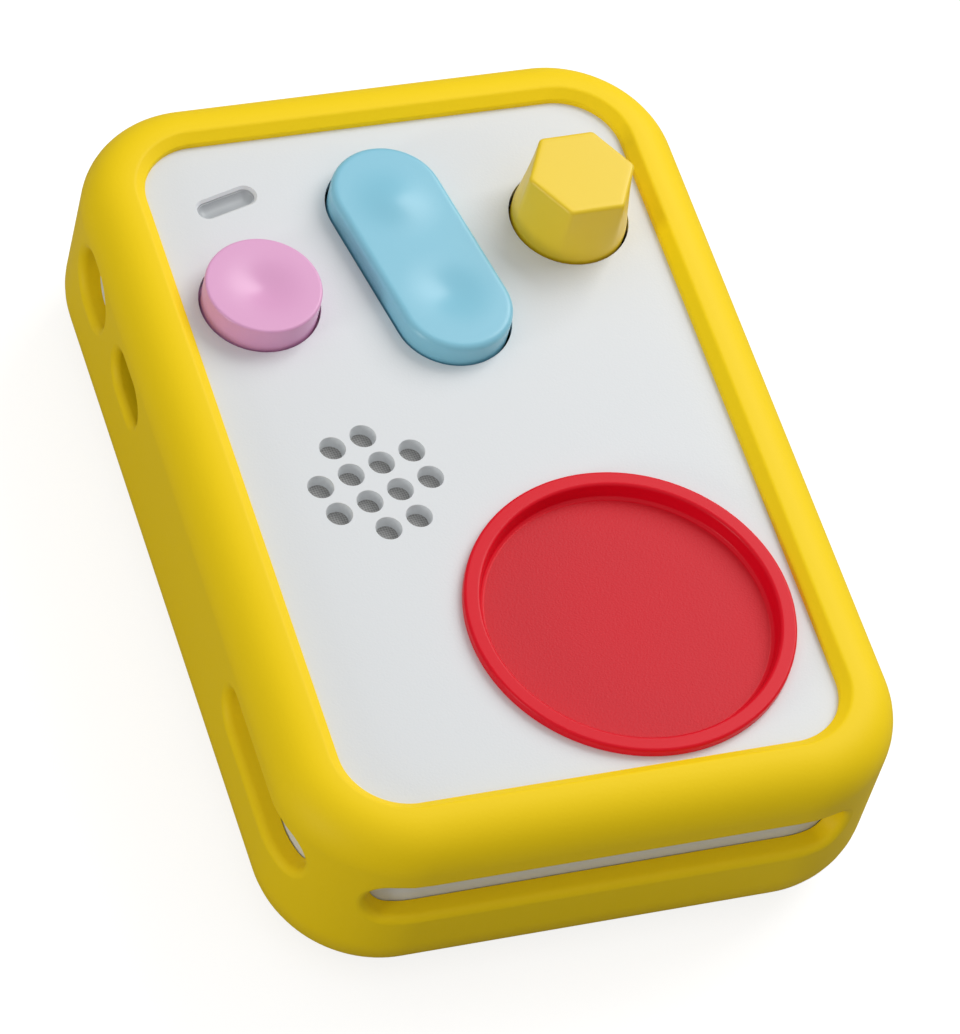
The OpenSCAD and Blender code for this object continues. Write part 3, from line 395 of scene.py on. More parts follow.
def moulded(name, tint, roughness=0.45, grain=3000.0, depth=0.012, tone=0.03,
            change=0.08, clear=0.0, gloss=0.5):
    """Moulded plastic or rubber: tint, gloss, and a grain depth in millimetres."""
    found = bpy.data.materials.get(name)
    if found:
        return found
    made, tree, shader, place = blank_material(name)
    skin = node_of(tree, "ShaderNodeGroup", node_tree=moulded_skin())
    skin.inputs["Colour"].default_value = (*tint, 1)
    skin.inputs["Tone change"].default_value = tone
    skin.inputs["Grain per metre"].default_value = grain
    skin.inputs["Roughness"].default_value = roughness
    skin.inputs["Roughness change"].default_value = change
    tree.links.new(place, skin.inputs["Place"])
    tree.links.new(skin.outputs["Colour"], shader.inputs["Base Color"])
    tree.links.new(skin.outputs["Roughness"], shader.inputs["Roughness"])
    raise_bump(tree, shader, skin.outputs["Height"], depth * MM)
    shader.inputs["Transmission Weight"].default_value = clear
    shader.inputs["Specular IOR Level"].default_value = gloss
    return made


def metal(name, tint, roughness):
    """Bare or plated metal."""
    found = bpy.data.materials.get(name)
    if found:
        return found
    made, tree, shader, place = blank_material(name)
    drawn = node_of(tree, "ShaderNodeGroup", node_tree=drawn_metal())
    drawn.inputs["Colour"].default_value = (*tint, 1)
    drawn.inputs["Roughness"].default_value = roughness
    tree.links.new(place, drawn.inputs["Place"])
    tree.links.new(drawn.outputs["Colour"], shader.inputs["Base Color"])
    tree.links.new(drawn.outputs["Roughness"], shader.inputs["Roughness"])
    raise_bump(tree, shader, drawn.outputs["Height"], 0.004 * MM)
    shader.inputs["Metallic"].default_value = 1
    return made


def woven_cloth(name, tint, pitch):
    """Plain woven cloth of two threads, pitch apart."""
    made, tree, shader, place = blank_material(name)
    link = tree.links.new
    uneven = node_of(tree, "ShaderNodeTexNoise", Scale=1100.0, Detail=1.0)
    link(place, uneven.inputs["Vector"])
    drawn = node_of(tree, "ShaderNodeVectorMath", operation="MULTIPLY_ADD")
    drawn.inputs[1].default_value = (pitch, pitch, 0)
    link(uneven.outputs["Color"], drawn.inputs[0])
    link(place, drawn.inputs[2])
    turned = node_of(tree, "ShaderNodeMapping", Rotation=(0, 0, math.radians(38)))
    link(drawn.outputs["Vector"], turned.inputs["Vector"])
    apart = node_of(tree, "ShaderNodeSeparateXYZ")
    link(turned.outputs["Vector"], apart.inputs["Vector"])
    waves = []
    for axis in ("X", "Y"):
        beat = node_of(tree, "ShaderNodeMath", operation="MULTIPLY")
        beat.inputs[1].default_value = math.pi / pitch
        link(apart.outputs[axis], beat.inputs[0])
        wave = node_of(tree, "ShaderNodeMath", operation="SINE")
        link(beat.outputs["Value"], wave.inputs[0])
        waves.append(wave)
    over = node_of(tree, "ShaderNodeMath", operation="MULTIPLY")
    link(waves[0].outputs["Value"], over.inputs[0])
    link(waves[1].outputs["Value"], over.inputs[1])
    height = node_of(tree, "ShaderNodeMath", operation="MULTIPLY_ADD")
    height.inputs[1].default_value = 0.5
    height.inputs[2].default_value = 0.5
    link(over.outputs["Value"], height.inputs[0])
    fuzz = node_of(tree, "ShaderNodeTexNoise", Scale=4200.0, Detail=2.0)
    link(place, fuzz.inputs["Vector"])
    rough = node_of(tree, "ShaderNodeMath", operation="MULTIPLY_ADD")
    rough.inputs[1].default_value = 0.6
    link(fuzz.outputs["Fac"], rough.inputs[0])
    link(height.outputs["Value"], rough.inputs[2])
    # The cloth's colour follows the weave's height: painted shade where the weave is low and
    # painted light where it is high, with a faint random fuzz on top.
    weave_light_and_shade = node_of(tree, "ShaderNodeMapRange")
    weave_light_and_shade.inputs["From Max"].default_value = 1.5
    weave_light_and_shade.inputs["To Min"].default_value = 0.45
    weave_light_and_shade.inputs["To Max"].default_value = 1.5
    link(rough.outputs["Value"], weave_light_and_shade.inputs["Value"])
    shaded = node_of(tree, "ShaderNodeVectorMath", operation="SCALE")
    shaded.inputs["Vector"].default_value = tint
    link(weave_light_and_shade.outputs["Result"], shaded.inputs["Scale"])
    link(shaded.outputs["Vector"], shader.inputs["Base Color"])
    shader.inputs["Roughness"].default_value = 0.85
    shader.inputs["Sheen Weight"].default_value = 0.2
    raise_bump(tree, shader, rough.outputs["Value"], 0.05 * MM)
    return made


def board_laminate():
    """Green circuit board with faint copper tracks under the lacquer."""
    made, tree, shader, place = blank_material("board_laminate")
    link = tree.links.new
    tracks = node_of(tree, "ShaderNodeTexBrick", Scale=260.0, offset=0.37)
    tracks.inputs["Color1"].default_value = (0.012, 0.10, 0.035, 1)
    tracks.inputs["Color2"].default_value = (0.016, 0.125, 0.045, 1)
    tracks.inputs["Mortar"].default_value = (0.03, 0.2, 0.08, 1)
    tracks.inputs["Mortar Size"].default_value = 0.035
    link(place, tracks.inputs["Vector"])
    weave = node_of(tree, "ShaderNodeTexNoise", Scale=1500.0, Detail=2.0)
    link(place, weave.inputs["Vector"])
    toned = node_of(tree, "ShaderNodeMapRange")
    toned.inputs["To Min"].default_value = 0.85
    toned.inputs["To Max"].default_value = 1.15
    link(weave.outputs["Fac"], toned.inputs["Value"])
    shaded = node_of(tree, "ShaderNodeVectorMath", operation="SCALE")
    link(tracks.outputs["Color"], shaded.inputs["Vector"])
    link(toned.outputs["Result"], shaded.inputs["Scale"])
    link(shaded.outputs["Vector"], shader.inputs["Base Color"])
    shader.inputs["Roughness"].default_value = 0.3
    raise_bump(tree, shader, tracks.outputs["Fac"], 0.03 * MM)
    return made


# ---- Making pieces ----


def middle(node):
    """Centre of a CAD node's box."""
    low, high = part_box(node)
    return (low + high) / 2


def rounded_line(corners, steps=8, closed=False):
    """Points of a line through corners (across, height, radius) with each one rounded."""
    points = []
    count = len(corners)
    for i, (x, z, radius) in enumerate(corners):
        here = Vector((x, z))
        if radius <= 0 or (not closed and i in (0, count - 1)):
            points.append(here)
            continue
        before = (Vector(corners[i - 1][:2]) - here).normalized()
        after = (Vector(corners[(i + 1) % count][:2]) - here).normalized()
        half = before.angle(after) / 2
        hub = here + (before + after).normalized() * radius / math.sin(half)
        start = here + before * radius / math.tan(half) - hub
        sweep = start.angle_signed(here + after * radius / math.tan(half) - hub)
        for k in range(steps + 1):
            turned = start.copy()
            turned.rotate(Matrix.Rotation(-sweep * k / steps, 2))
            points.append(hub + turned)
    return points


def section_edges(bm, points, place, closed=False):
    """Draws a section as edges; place turns (across, height) into a point."""
    verts = [bm.verts.new(place(p)) for p in points]
    pairs = list(zip(verts, verts[1:])) + ([(verts[-1], verts[0])] if closed else [])
    return [bm.edges.new(pair) for pair in pairs]


def turned_shape(points, centre, steps=128):
    """Solid of a section (radius, height) turned full circle about an upright line."""
    bm = bmesh.new()
    section_edges(bm, points, lambda p: (centre.x + p.x, centre.y, p.y))
    bmesh.ops.spin(
        bm, geom=bm.verts[:] + bm.edges[:], cent=(centre.x, centre.y, 0),
        axis=(0, 0, 1), dvec=(0, 0, 0), angle=math.tau, steps=steps,
        use_merge=True, use_duplicate=False,
    )
    return bm


def round_rays(count):
    """Rays of a round outline, all from its centre."""
    return [
        (Vector((0, 0)), Vector((math.cos(a), math.sin(a))))
        for a in (math.tau * k / count for k in range(count))
    ]


def stadium_rays(run, arc, side):
    """Rays of a long outline with round ends, whose straight run lies along Y."""
    rays = []
    for end, first in ((1, 0), (-1, math.pi)):
        for k in range(arc + 1):
            a = first + math.pi * k / arc
            rays.append((Vector((0, end * run / 2)), Vector((math.cos(a), math.sin(a)))))
        for k in range(1, side):
            y = end * run * (0.5 - k / side)
            rays.append((Vector((0, y)), Vector((-end, 0))))
    return rays


def carry(bm, rays, levels, place, reach=lambda ray, level: level[0]):
    """Carries an outline through levels (reach, height): every point moves along its ray."""
    ring = bmesh.ops.create_circle(bm, segments=len(rays), radius=1)["verts"]
    edges = list({e for v in ring for e in v.link_edges})
    for i, level in enumerate(levels):
        if i:
            made = bmesh.ops.extrude_edge_only(bm, edges=edges)["geom"]
            fresh = {g for g in made if isinstance(g, bmesh.types.BMVert)}
            edges = [
                g for g in made
                if isinstance(g, bmesh.types.BMEdge) and set(g.verts) <= fresh
            ]
            ring = [
                next(e.other_vert(v) for e in v.link_edges if e.other_vert(v) in fresh)
                for v in ring
            ]
        for vert, (spine, ray) in zip(ring, rays):
            flat = spine + ray * reach(ray, level)
            vert.co = place(flat.x, flat.y, level[1])
    return edges


def upright(centre, turn=0.0):
    """Turns a flat point and a height into a point round a leaning, upright axis."""
    spun = Matrix.Rotation(turn, 2)

    def at(x, y, z):
        p = spun @ Vector((x, y))
        return (centre.x + p.x, centre.y + p.y, z)

    return at


def tidy_mesh(bm, name, sharp):
    """Welds, turns the normals outwards and marks the sharp edges; the shell has to be closed."""
    bmesh.ops.remove_doubles(bm, verts=bm.verts, dist=2e-6)
    bmesh.ops.dissolve_degenerate(bm, edges=bm.edges, dist=1e-8)
    loose = [e for e in bm.edges if not e.link_faces]
    bmesh.ops.delete(bm, geom=loose, context="EDGES")
    bmesh.ops.recalc_face_normals(bm, faces=bm.faces)
    open_edges = [e for e in bm.edges if len(e.link_faces) != 2]
    if open_edges:
        raise RuntimeError(f"{name} has {len(open_edges)} open edges")
    for face in bm.faces:
        face.smooth = True
    for edge in bm.edges:
        edge.smooth = edge.calc_face_angle(0) < sharp
    mesh = bpy.data.meshes.new(name)
    bm.to_mesh(mesh)
    bm.free()
    return mesh


def add_piece(mesh, name, body, slot, material, *nodes):
    """Adds a finished mesh as a piece that rides on a body and stands for CAD nodes."""
    mesh.materials.append(material)
    piece = bpy.data.objects.new(name, mesh)
    bpy.context.scene.collection.objects.link(piece)
    even = piece.modifiers.new("even_shading", "WEIGHTED_NORMAL")
    even.keep_sharp = True
    even.weight = 50
    if nodes:
        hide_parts(*nodes)
    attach(piece, body)
    return piece


def dress(material, *nodes):
    """Gives CAD nodes their material."""
    for name in nodes:
        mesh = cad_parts[name].data
        if not mesh.materials:
            mesh.materials.append(material)
        for i in range(len(mesh.materials)):
            mesh.materials[i] = material


# ---- Sleeve ----


class WallPath:
    """The sleeve's outer wall, unrolled: distances along it become places on it."""

    def __init__(self, half_x, half_y, corner):
        self.half_x, self.half_y, self.corner = half_x, half_y, corner

    def along(self, half, reach):
        """Distance along the wall of a point that lies reach from its middle, seen from above."""
        past = abs(reach) - half
        if past > 0:
            return math.copysign(half + self.corner * math.asin(past / self.corner), reach)
        return reach

    def end_wall(self, s, out, z):
        """Point on the wall at the bottom end."""
        a = max(abs(s) - self.half_x, 0) / self.corner
        r = self.corner + out
        x = math.copysign(min(abs(s), self.half_x) + r * math.sin(a), s)
        return (x, -self.half_y - r * math.cos(a), z)

    def left_wall(self, s, out, z):
        """Point on the left wall."""
        a = max(abs(s) - self.half_y, 0) / self.corner
        r = self.corner + out
        y = math.copysign(min(abs(s), self.half_y) + r * math.sin(a), s)
        return (-self.half_x - r * math.cos(a), y, z)


def window_cutter(bm, wall_point, low, high, z, height, edge, wall):
    """Adds a cutter for a window with rounded ends and a rounded outer edge."""
    run, centre = high - low - height, (high + low) / 2
    first = height / 2
    levels = [(first, -wall - 2 * MM), (first, -wall)]
    for k in range(9):
        a = math.radians(80) * k / 8
        levels.append((first + edge * (1 - math.cos(a)), -edge * (1 - math.sin(a))))
    reach, out = levels[-1]
    levels.append((reach + 0.7 * MM, out + 0.7 * MM * math.tan(math.radians(10))))
    levels.append((levels[-1][0], 4 * MM))
    before = set(bm.verts)
    carry(
        bm, stadium_rays(run, 20, 24), levels,
        lambda x, y, out: wall_point(centre + y, out, z + x),
    )
    rims = [
        e for e in bm.edges if len(e.link_faces) == 1 and e.verts[0] not in before
    ]
    bmesh.ops.holes_fill(bm, edges=rims)


def cut(mesh, cutter):
    """Takes a cutter out of a mesh and returns what is left."""
    pair = [bpy.data.objects.new(m.name, m) for m in (mesh, cutter)]
    for obj in pair:
        bpy.context.scene.collection.objects.link(obj)
    taken = pair[0].modifiers.new("windows", "BOOLEAN")
    taken.operation = "DIFFERENCE"
    taken.solver = "EXACT"
    taken.object = pair[1]
    graph = bpy.context.evaluated_depsgraph_get()
    left = bpy.data.meshes.new_from_object(pair[0].evaluated_get(graph), depsgraph=graph)
    for obj in pair:
        bpy.data.objects.remove(obj)
    return left


class PLAYER_OT_sleeve(bpy.types.Operator):
    """Build the soft sleeve with its lips and windows"""

    bl_idname = "story_player.sleeve"
    bl_label = "Build the sleeve"

    def execute(self, context):
        s = context.scene.player_sleeve
        low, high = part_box("bumper_sleeve")
        half_x = (high.x - low.x) / 2 - s.corner
        half_y = (high.y - low.y) / 2 - s.corner
        section = rounded_line([
            (s.back_corner, 0, 0.6 * MM),
            (s.corner, 0, s.bottom_round),
            (s.corner, CREST_Z, s.top_round),
            (s.lip_corner + s.lip_bevel, CREST_Z, 1.0 * MM),
            (s.lip_corner, FACE_Z + s.lip_step, 0.5 * MM),
            (s.lip_corner, FACE_Z, 0),
            (s.cavity, FACE_Z, 1.9 * MM),
            (s.cavity, s.base, s.bottom_round - s.wall),
            (s.back_corner, s.base, 0.4 * MM),
        ], steps=14, closed=True)
        bm = bmesh.new()
        edges = section_edges(
            bm, section, lambda p: (half_x + p.x, -half_y, p.y), closed=True,
        )
        for hub, run in (
            ((half_x, half_y, 0), (0, 2 * half_y, 0)),
            ((-half_x, half_y, 0), (-2 * half_x, 0, 0)),
            ((-half_x, -half_y, 0), (0, -2 * half_y, 0)),
            ((half_x, -half_y, 0), (2 * half_x, 0, 0)),
        ):
            made = bmesh.ops.extrude_edge_only(bm, edges=edges)["geom"]
            fresh = {g for g in made if isinstance(g, bmesh.types.BMVert)}
            bmesh.ops.translate(bm, verts=list(fresh), vec=run)
            edges = [
                g for g in made
                if isinstance(g, bmesh.types.BMEdge) and set(g.verts) <= fresh
            ]
            last = bmesh.ops.spin(
                bm, geom=list(fresh) + edges, cent=hub, axis=(0, 0, 1),
                dvec=(0, 0, 0), angle=math.pi / 2, steps=28,
                use_merge=False, use_duplicate=False,
            )["geom_last"]
            edges = [g for g in last if isinstance(g, bmesh.types.BMEdge)]
        shell = tidy_mesh(bm, "sleeve_shell", math.radians(60))

        path = WallPath(half_x, half_y, s.corner)
        bm = bmesh.new()
        # millimetres: both ends along the wall, height of the middle, height of the window
        for wall_point, half, start, end, z, height in (
            (path.end_wall, half_x, -39, 39, 23.0, 8.0),
            (path.left_wall, half_y, -63.7, -31.7, 23.9, 8.0),
            (path.left_wall, half_y, 39.7, 52.7, 24.7, 10.6),
            (path.left_wall, half_y, 20.3, 32.9, 24.5, 7.6),
        ):
            window_cutter(
                bm, wall_point, path.along(half, start * MM), path.along(half, end * MM),
                z * MM, height * MM, s.window_round, s.wall,
            )
        cutter = tidy_mesh(bm, "sleeve_cutter", math.radians(60))
        bm = bmesh.new()
        bm.from_mesh(cut(shell, cutter))
        mesh = tidy_mesh(bm, "sleeve", math.radians(38))
        silicone = moulded(
            "sleeve_silicone", s.yellow, roughness=0.56, grain=2400.0, depth=0.02,
            tone=0.03, gloss=0.26,
        )
        add_piece(mesh, "sleeve", "root", "sleeve_rubber", silicone, "bumper_sleeve")
        return {"FINISHED"}


# ---- Body ----


class PLAYER_OT_body(bpy.types.Operator):
    """Give the white housing, the lens and the speaker cloth their finish"""

    bl_idname = "story_player.body"
    bl_label = "Finish the body"

    def execute(self, context):
        look = context.scene.player_face
        white = moulded(
            "housing_white", look.white, roughness=0.42, grain=2600.0, depth=0.012,
            tone=0.02,
        )
        dress(white, "front_shell", "rear_shell")
        dress(moulded(
            "frosted_lens", look.lens, roughness=0.4, grain=1800.0, depth=0.006,
            tone=0.03, clear=0.25,
        ), "light_pipe")
        dress(woven_cloth("woven_cloth", look.cloth, 0.28 * MM), "speaker_cloth")
        return {"FINISHED"}


# ---- Controls ----


class PLAYER_OT_button(bpy.types.Operator):
    """Build the round button with the hollow in its top"""

    bl_idname = "story_player.button"
    bl_label = "Build the round button"

    def execute(self, context):
        s = context.scene.player_button
        low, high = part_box("play_button")
        top = high.z
        stem = low.z
        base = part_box("play_spring")[1].z + 0.05 * MM
        rounded = rounded_line([
            (0, stem, 0), (s.stem, stem, 0.2 * MM), (s.stem, base, 0),
            (s.radius + s.flange, base, 0.15 * MM),
            (s.radius + s.flange, base + s.flange_height, 0.15 * MM),
            (s.radius, base + s.flange_height, 0.2 * MM), (s.radius, top, s.rim),
            (s.radius - s.rim - 0.1 * MM, top, 0),
        ], steps=8)
        reach = s.radius - s.rim - 0.1 * MM
        for k in range(1, 41):
            r = reach * (1 - k / 40)
            rounded.append(Vector((r, top - s.hollow * bell(r / reach, HOLLOW_SPREAD))))
        bm = turned_shape(rounded, middle("play_button"))
        mesh = tidy_mesh(bm, "round_button", math.radians(45))
        pink = moulded("button_pink", s.pink, roughness=0.33, grain=3000.0, depth=0.005)
        add_piece(mesh, "round_button", "play", "pink_plastic", pink, "play_button")
        return {"FINISHED"}


def bell(share, spread):
    """Bell curve that goes from 0 at the rim to 1 at its middle."""
    edge = math.exp(-(1 / spread) ** 2)
    return (math.exp(-(share / spread) ** 2) - edge) / (1 - edge)


class PLAYER_OT_rocker(bpy.types.Operator):
    """Build the rocker with a swell at its upper end and a hollow at its lower end"""

    bl_idname = "story_player.rocker"
    bl_label = "Build the rocker"

    def execute(self, context):
        s = context.scene.player_rocker
        low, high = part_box("rocker_cap")
        top = high.z - s.swell
        base = middle("rocker_pin").z - s.skirt
        roof = top - s.swell - s.wall
        inner = s.radius - s.wall
        levels = [(0, roof), (inner, roof), (inner, base)]
        rim = rounded_line([
            (inner, base, 0), (s.radius, base, 0.2 * MM), (s.radius, top, s.rim),
            (0, top, 0),
        ], steps=10)
        levels += [(p.x, p.y) for p in rim[1:-1]]
        flat = s.radius - s.rim
        levels += [(flat * (1 - k / 30), top) for k in range(1, 31)]
        bm = bmesh.new()
        place = upright(middle("rocker_pin"), s.lean)
        carry(bm, stadium_rays(s.run, 36, 30), levels, place)
        back = Matrix.Rotation(-s.lean, 2)
        centre = middle("rocker_pin").xy
        for vert in bm.verts:
            if vert.co.z > top - 0.01 * MM:
                x, y = back @ (vert.co.xy - centre)
                away = math.hypot(x, abs(y) - s.swell_place) / s.swell_radius
                if away < 1:
                    vert.co.z += math.copysign(s.swell, y) * bell(away, SWELL_SPREAD)
        root = roof + 0.5 * MM  # the feet and the block reach into the roof
        for end in (-1, 1):
            foot = bmesh.ops.create_cone(
                bm, cap_ends=True, segments=32, radius1=s.foot_radius,
                radius2=s.foot_radius, depth=root - low.z,
            )["verts"]
            at = place(0, end * s.foot_place, (root + low.z) / 2)
            bmesh.ops.translate(bm, verts=foot, vec=at)
        hub = bmesh.ops.create_cube(bm, size=1)["verts"]
        tall = root - base
        bmesh.ops.scale(bm, verts=hub, vec=(2 * inner + 1 * MM, s.hub_length, tall))
        bmesh.ops.rotate(bm, verts=hub, matrix=Matrix.Rotation(s.lean, 3, "Z"))
        bmesh.ops.translate(bm, verts=hub, vec=(centre.x, centre.y, base + tall / 2))
        mesh = tidy_mesh(bm, "rocker", math.radians(45))
        blue = moulded("rocker_blue", s.blue, roughness=0.33, grain=3000.0, depth=0.005)
        add_piece(mesh, "rocker", "rocker", "blue_plastic", blue, "rocker_cap")
        return {"FINISHED"}


class PLAYER_OT_knob(bpy.types.Operator):
    """Build the volume knob, six-sided at the top and round at the base"""

    bl_idname = "story_player.knob"
    bl_label = "Build the knob"

    def execute(self, context):
        s = context.scene.player_knob
        low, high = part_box("volume_knob")
        base, top = low.z, high.z
        shaft = s.shaft_hole
        hub = shaft + s.hub_wall
        inner = s.base_radius - s.wall
        ceiling = FACE_Z + s.hollow_top
        shaft_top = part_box("pot_shaft")[1].z + 0.3 * MM
        # levels: reach, height, share of six-sidedness, inset from the six sides
        levels = [
            (0, shaft_top, 0, 0), (shaft, shaft_top, 0, 0), (shaft, base, 0, 0),
            (hub, base, 0, 0), (hub, ceiling, 0, 0), (inner, ceiling, 0, 0),
            (inner, base, 0, 0), (s.base_radius - 0.2 * MM, base, 0, 0),
            (s.base_radius, base + 0.2 * MM, 0, 0), (s.base_radius, FACE_Z, 0, 0),
        ]
        foot, head = FACE_Z + 0.5 * MM, top - s.rim
        for k in range(15):
            share = k / 14
            levels.append((s.base_radius, foot + (head - foot) * share, share, 0))
        for k in range(1, 9):
            a = math.pi / 2 * k / 8
            levels.append((
                s.base_radius, head + s.rim * math.sin(a), 1, s.rim * (1 - math.cos(a)),
            ))
        for k in range(1, 13):
            levels.append((s.base_radius * (1 - k / 12), top, 1, None))

        def reach(ray, level):
            if level[2] == 0:
                return level[0]
            side = six_sided(math.atan2(ray.y, ray.x), s.corner_reach, s.corner_round)
            if level[3] is None:
                return (side - s.rim) * level[0] / s.base_radius
            return s.base_radius * (1 - level[2]) + side * level[2] - level[3]

        bm = bmesh.new()
        place = upright(middle("pot_shaft"), s.turn)
        carry(bm, round_rays(144), levels, place, reach)
        mesh = tidy_mesh(bm, "knob", math.radians(50))
        mustard = moulded("knob_mustard", s.mustard, roughness=0.35, grain=3000.0, depth=0.005)
        add_piece(mesh, "knob", "knob", "mustard_plastic", mustard, "volume_knob")
        return {"FINISHED"}


def six_sided(angle, corner_reach, corner_round):
    """Reach of a six-sided outline with rounded corners, in a direction."""
    hub = corner_reach - corner_round
    a = abs((angle + math.pi / 6) % (math.pi / 3) - math.pi / 6)
    side = math.pi / 6
    meets = math.atan2(
        corner_round * math.sin(side), hub + corner_round * math.cos(side),
    )
    if a < meets:
        return hub * math.cos(a) + math.sqrt(corner_round ** 2 - (hub * math.sin(a)) ** 2)
    return (hub * math.cos(side) + corner_round) / math.cos(side - a)


# ---- Token dish ----


class PLAYER_OT_dish(bpy.types.Operator):
    """Build the red token dish with its ring, cove and grained floor"""

    bl_idname = "story_player.dish"
    bl_label = "Build the token dish"

    def execute(self, context):
        s = context.scene.player_dish
        low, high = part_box("token_dish")
        floor = FACE_Z - s.depth
        inner = s.ring_radius - s.ring_width
        foot = inner - s.draft
        points = rounded_line([
            (0, low.z, 0), (s.cup_radius, low.z, 0.3 * MM), (s.cup_radius, FACE_Z, 0),
            (s.ring_radius, FACE_Z, 0.08 * MM), (s.ring_radius, high.z, 0.5 * MM),
            (inner, high.z, 0.6 * MM), (foot, floor + s.cove_height, 0.35 * MM),
            (foot - s.cove_width, floor, 0.3 * MM), (s.grained_radius, floor, 0), (0, floor, 0),
        ], steps=8)
        centre = middle("token_dish")
        bm = turned_shape(points, centre, steps=192)
        # The grained floor material goes inside the grained radius. The ring keeps its own smooth
        # red, and the cove and the floor's outer band take it too as painted shade of the wall
        # along the floor's edge.
        for face in bm.faces:
            at = face.calc_center_median()
            inside = (at.xy - centre.xy).length < s.grained_radius
            face.material_index = int(inside and at.z > floor - 0.01 * MM)
        mesh = tidy_mesh(bm, "dish", math.radians(50))
        # The ring's own smooth red, also used as painted shade on the cove and the floor's outer
        # band.
        smooth = moulded("dish_ring_and_shade_band", s.red, roughness=0.36, grain=3000.0, depth=0.004,
                         gloss=0.2)
        piece = add_piece(mesh, "dish", "root", "red_plastic", smooth, "token_dish")
        piece.data.materials.append(moulded(
            "dish_grained", s.floor_red, roughness=0.56, grain=3000.0, depth=0.04, tone=0.16,
            gloss=0.38,
        ))
        return {"FINISHED"}


# ---- Parts inside ----


class PLAYER_OT_spring(bpy.types.Operator):
    """Build the spring under the round button"""

    bl_idname = "story_player.spring"
    bl_label = "Build the spring"

    def execute(self, context):
        low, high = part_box("play_spring")
        centre = middle("play_spring")
        wire, turns, steps = 0.4 * MM, 5, 160
        radius = (high.x - low.x) / 2 - wire
        bm = bmesh.new()
        ring = bmesh.ops.create_circle(bm, segments=12, radius=wire, cap_ends=True)["verts"]
        bmesh.ops.rotate(bm, verts=ring, matrix=Matrix.Rotation(math.pi / 2, 3, "X"))
        bmesh.ops.translate(
            bm, verts=ring, vec=(centre.x + radius, centre.y, low.z + wire),
        )
        rise = (high.z - low.z - 2 * wire) / steps
        bmesh.ops.spin(
            bm, geom=bm.faces[:], cent=centre, axis=(0, 0, 1), dvec=(0, 0, rise),
            angle=math.tau * turns, steps=steps, use_merge=False, use_duplicate=False,
        )
        mesh = tidy_mesh(bm, "button_spring", math.radians(50))
        steel = metal("spring_steel", (0.62, 0.62, 0.63), 0.22)
        piece = add_piece(mesh, "button_spring", "root", "steel", steel, "play_spring")
        piece.modifiers.clear()
        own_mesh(piece)
        return {"FINISHED"}


class PLAYER_OT_inside(bpy.types.Operator):
    """Give the electronics, the loudspeaker, the battery and the screws their finish"""

    bl_idname = "story_player.inside"
    bl_label = "Finish the parts inside"

    def execute(self, context):
        dress(metal("screw_steel", (0.6, 0.6, 0.61), 0.28),
              "rear_screws", "dish_screws", "board_screws", "rocker_pin", "pot_shaft")
        dress(metal("plated_nickel", (0.66, 0.65, 0.62), 0.2), "usb_port", "processor_can",
              "dish_magnets")
        dress(metal("speaker_steel", (0.42, 0.42, 0.44), 0.36),
              "speaker_frame", "speaker_magnet")
        dress(board_laminate(), "main_board", "antenna_board")
        dress(moulded("switch_black", (0.03, 0.03, 0.032), roughness=0.42, grain=2600.0),
              "play_switch", "rocker_switches", "headphone_jack", "pot_body")
        dress(moulded("plate_grey", (0.56, 0.56, 0.57), roughness=0.5, grain=2200.0),
              "dish_backplate")
        dress(moulded("soft_foam", (0.045, 0.045, 0.048), roughness=0.9, grain=1400.0,
                      depth=0.12, tone=0.3), "battery_pad", "speaker_gasket")
        dress(moulded("rubber_roll", (0.022, 0.022, 0.023), roughness=0.6, grain=3000.0),
              "speaker_surround")
        dress(moulded("pressed_paper", (0.055, 0.053, 0.05), roughness=0.85, grain=1500.0,
                      depth=0.05, tone=0.35), "speaker_cone")
        dress(moulded("battery_film", (0.03, 0.09, 0.3), roughness=0.3, grain=500.0,
                      depth=0.02, tone=0.12), "battery_pack")
        dress(moulded("plug_ivory", (0.74, 0.71, 0.6), roughness=0.45),
              "battery_connector", "status_led")
        dress(moulded("lead_red", (0.4, 0.02, 0.02), roughness=0.4), "speaker_leads",
              "battery_leads")
        dress(moulded("lead_black", (0.02, 0.02, 0.02), roughness=0.4), "antenna_lead")
        return {"FINISHED"}


# ---- Stage ----


def white_room(world, horizon, ceiling):
    """Soft light that grows from the horizon to the ceiling, and white behind the object."""
    world.use_nodes = True
    tree = world.node_tree
    link = tree.links.new
    shader = tree.nodes["Background"]
    way = tree.nodes.new("ShaderNodeTexCoord")
    apart = node_of(tree, "ShaderNodeSeparateXYZ")
    link(way.outputs["Generated"], apart.inputs["Vector"])
    level = node_of(tree, "ShaderNodeMapRange")
    level.inputs["To Min"].default_value = horizon
    level.inputs["To Max"].default_value = ceiling
    link(apart.outputs["Z"], level.inputs["Value"])
    rays = tree.nodes.new("ShaderNodeLightPath")
    seen = node_of(tree, "ShaderNodeMath", operation="MAXIMUM")
    link(rays.outputs["Is Camera Ray"], seen.inputs[0])
    link(rays.outputs["Is Transmission Ray"], seen.inputs[1])
    strength = node_of(tree, "ShaderNodeMapRange")
    strength.inputs["To Max"].default_value = 1.0
    link(seen.outputs["Value"], strength.inputs["Value"])
    link(level.outputs["Result"], strength.inputs["To Min"])
    link(strength.outputs["Result"], shader.inputs["Strength"])
    shader.inputs["Color"].default_value = (1, 1, 1, 1)


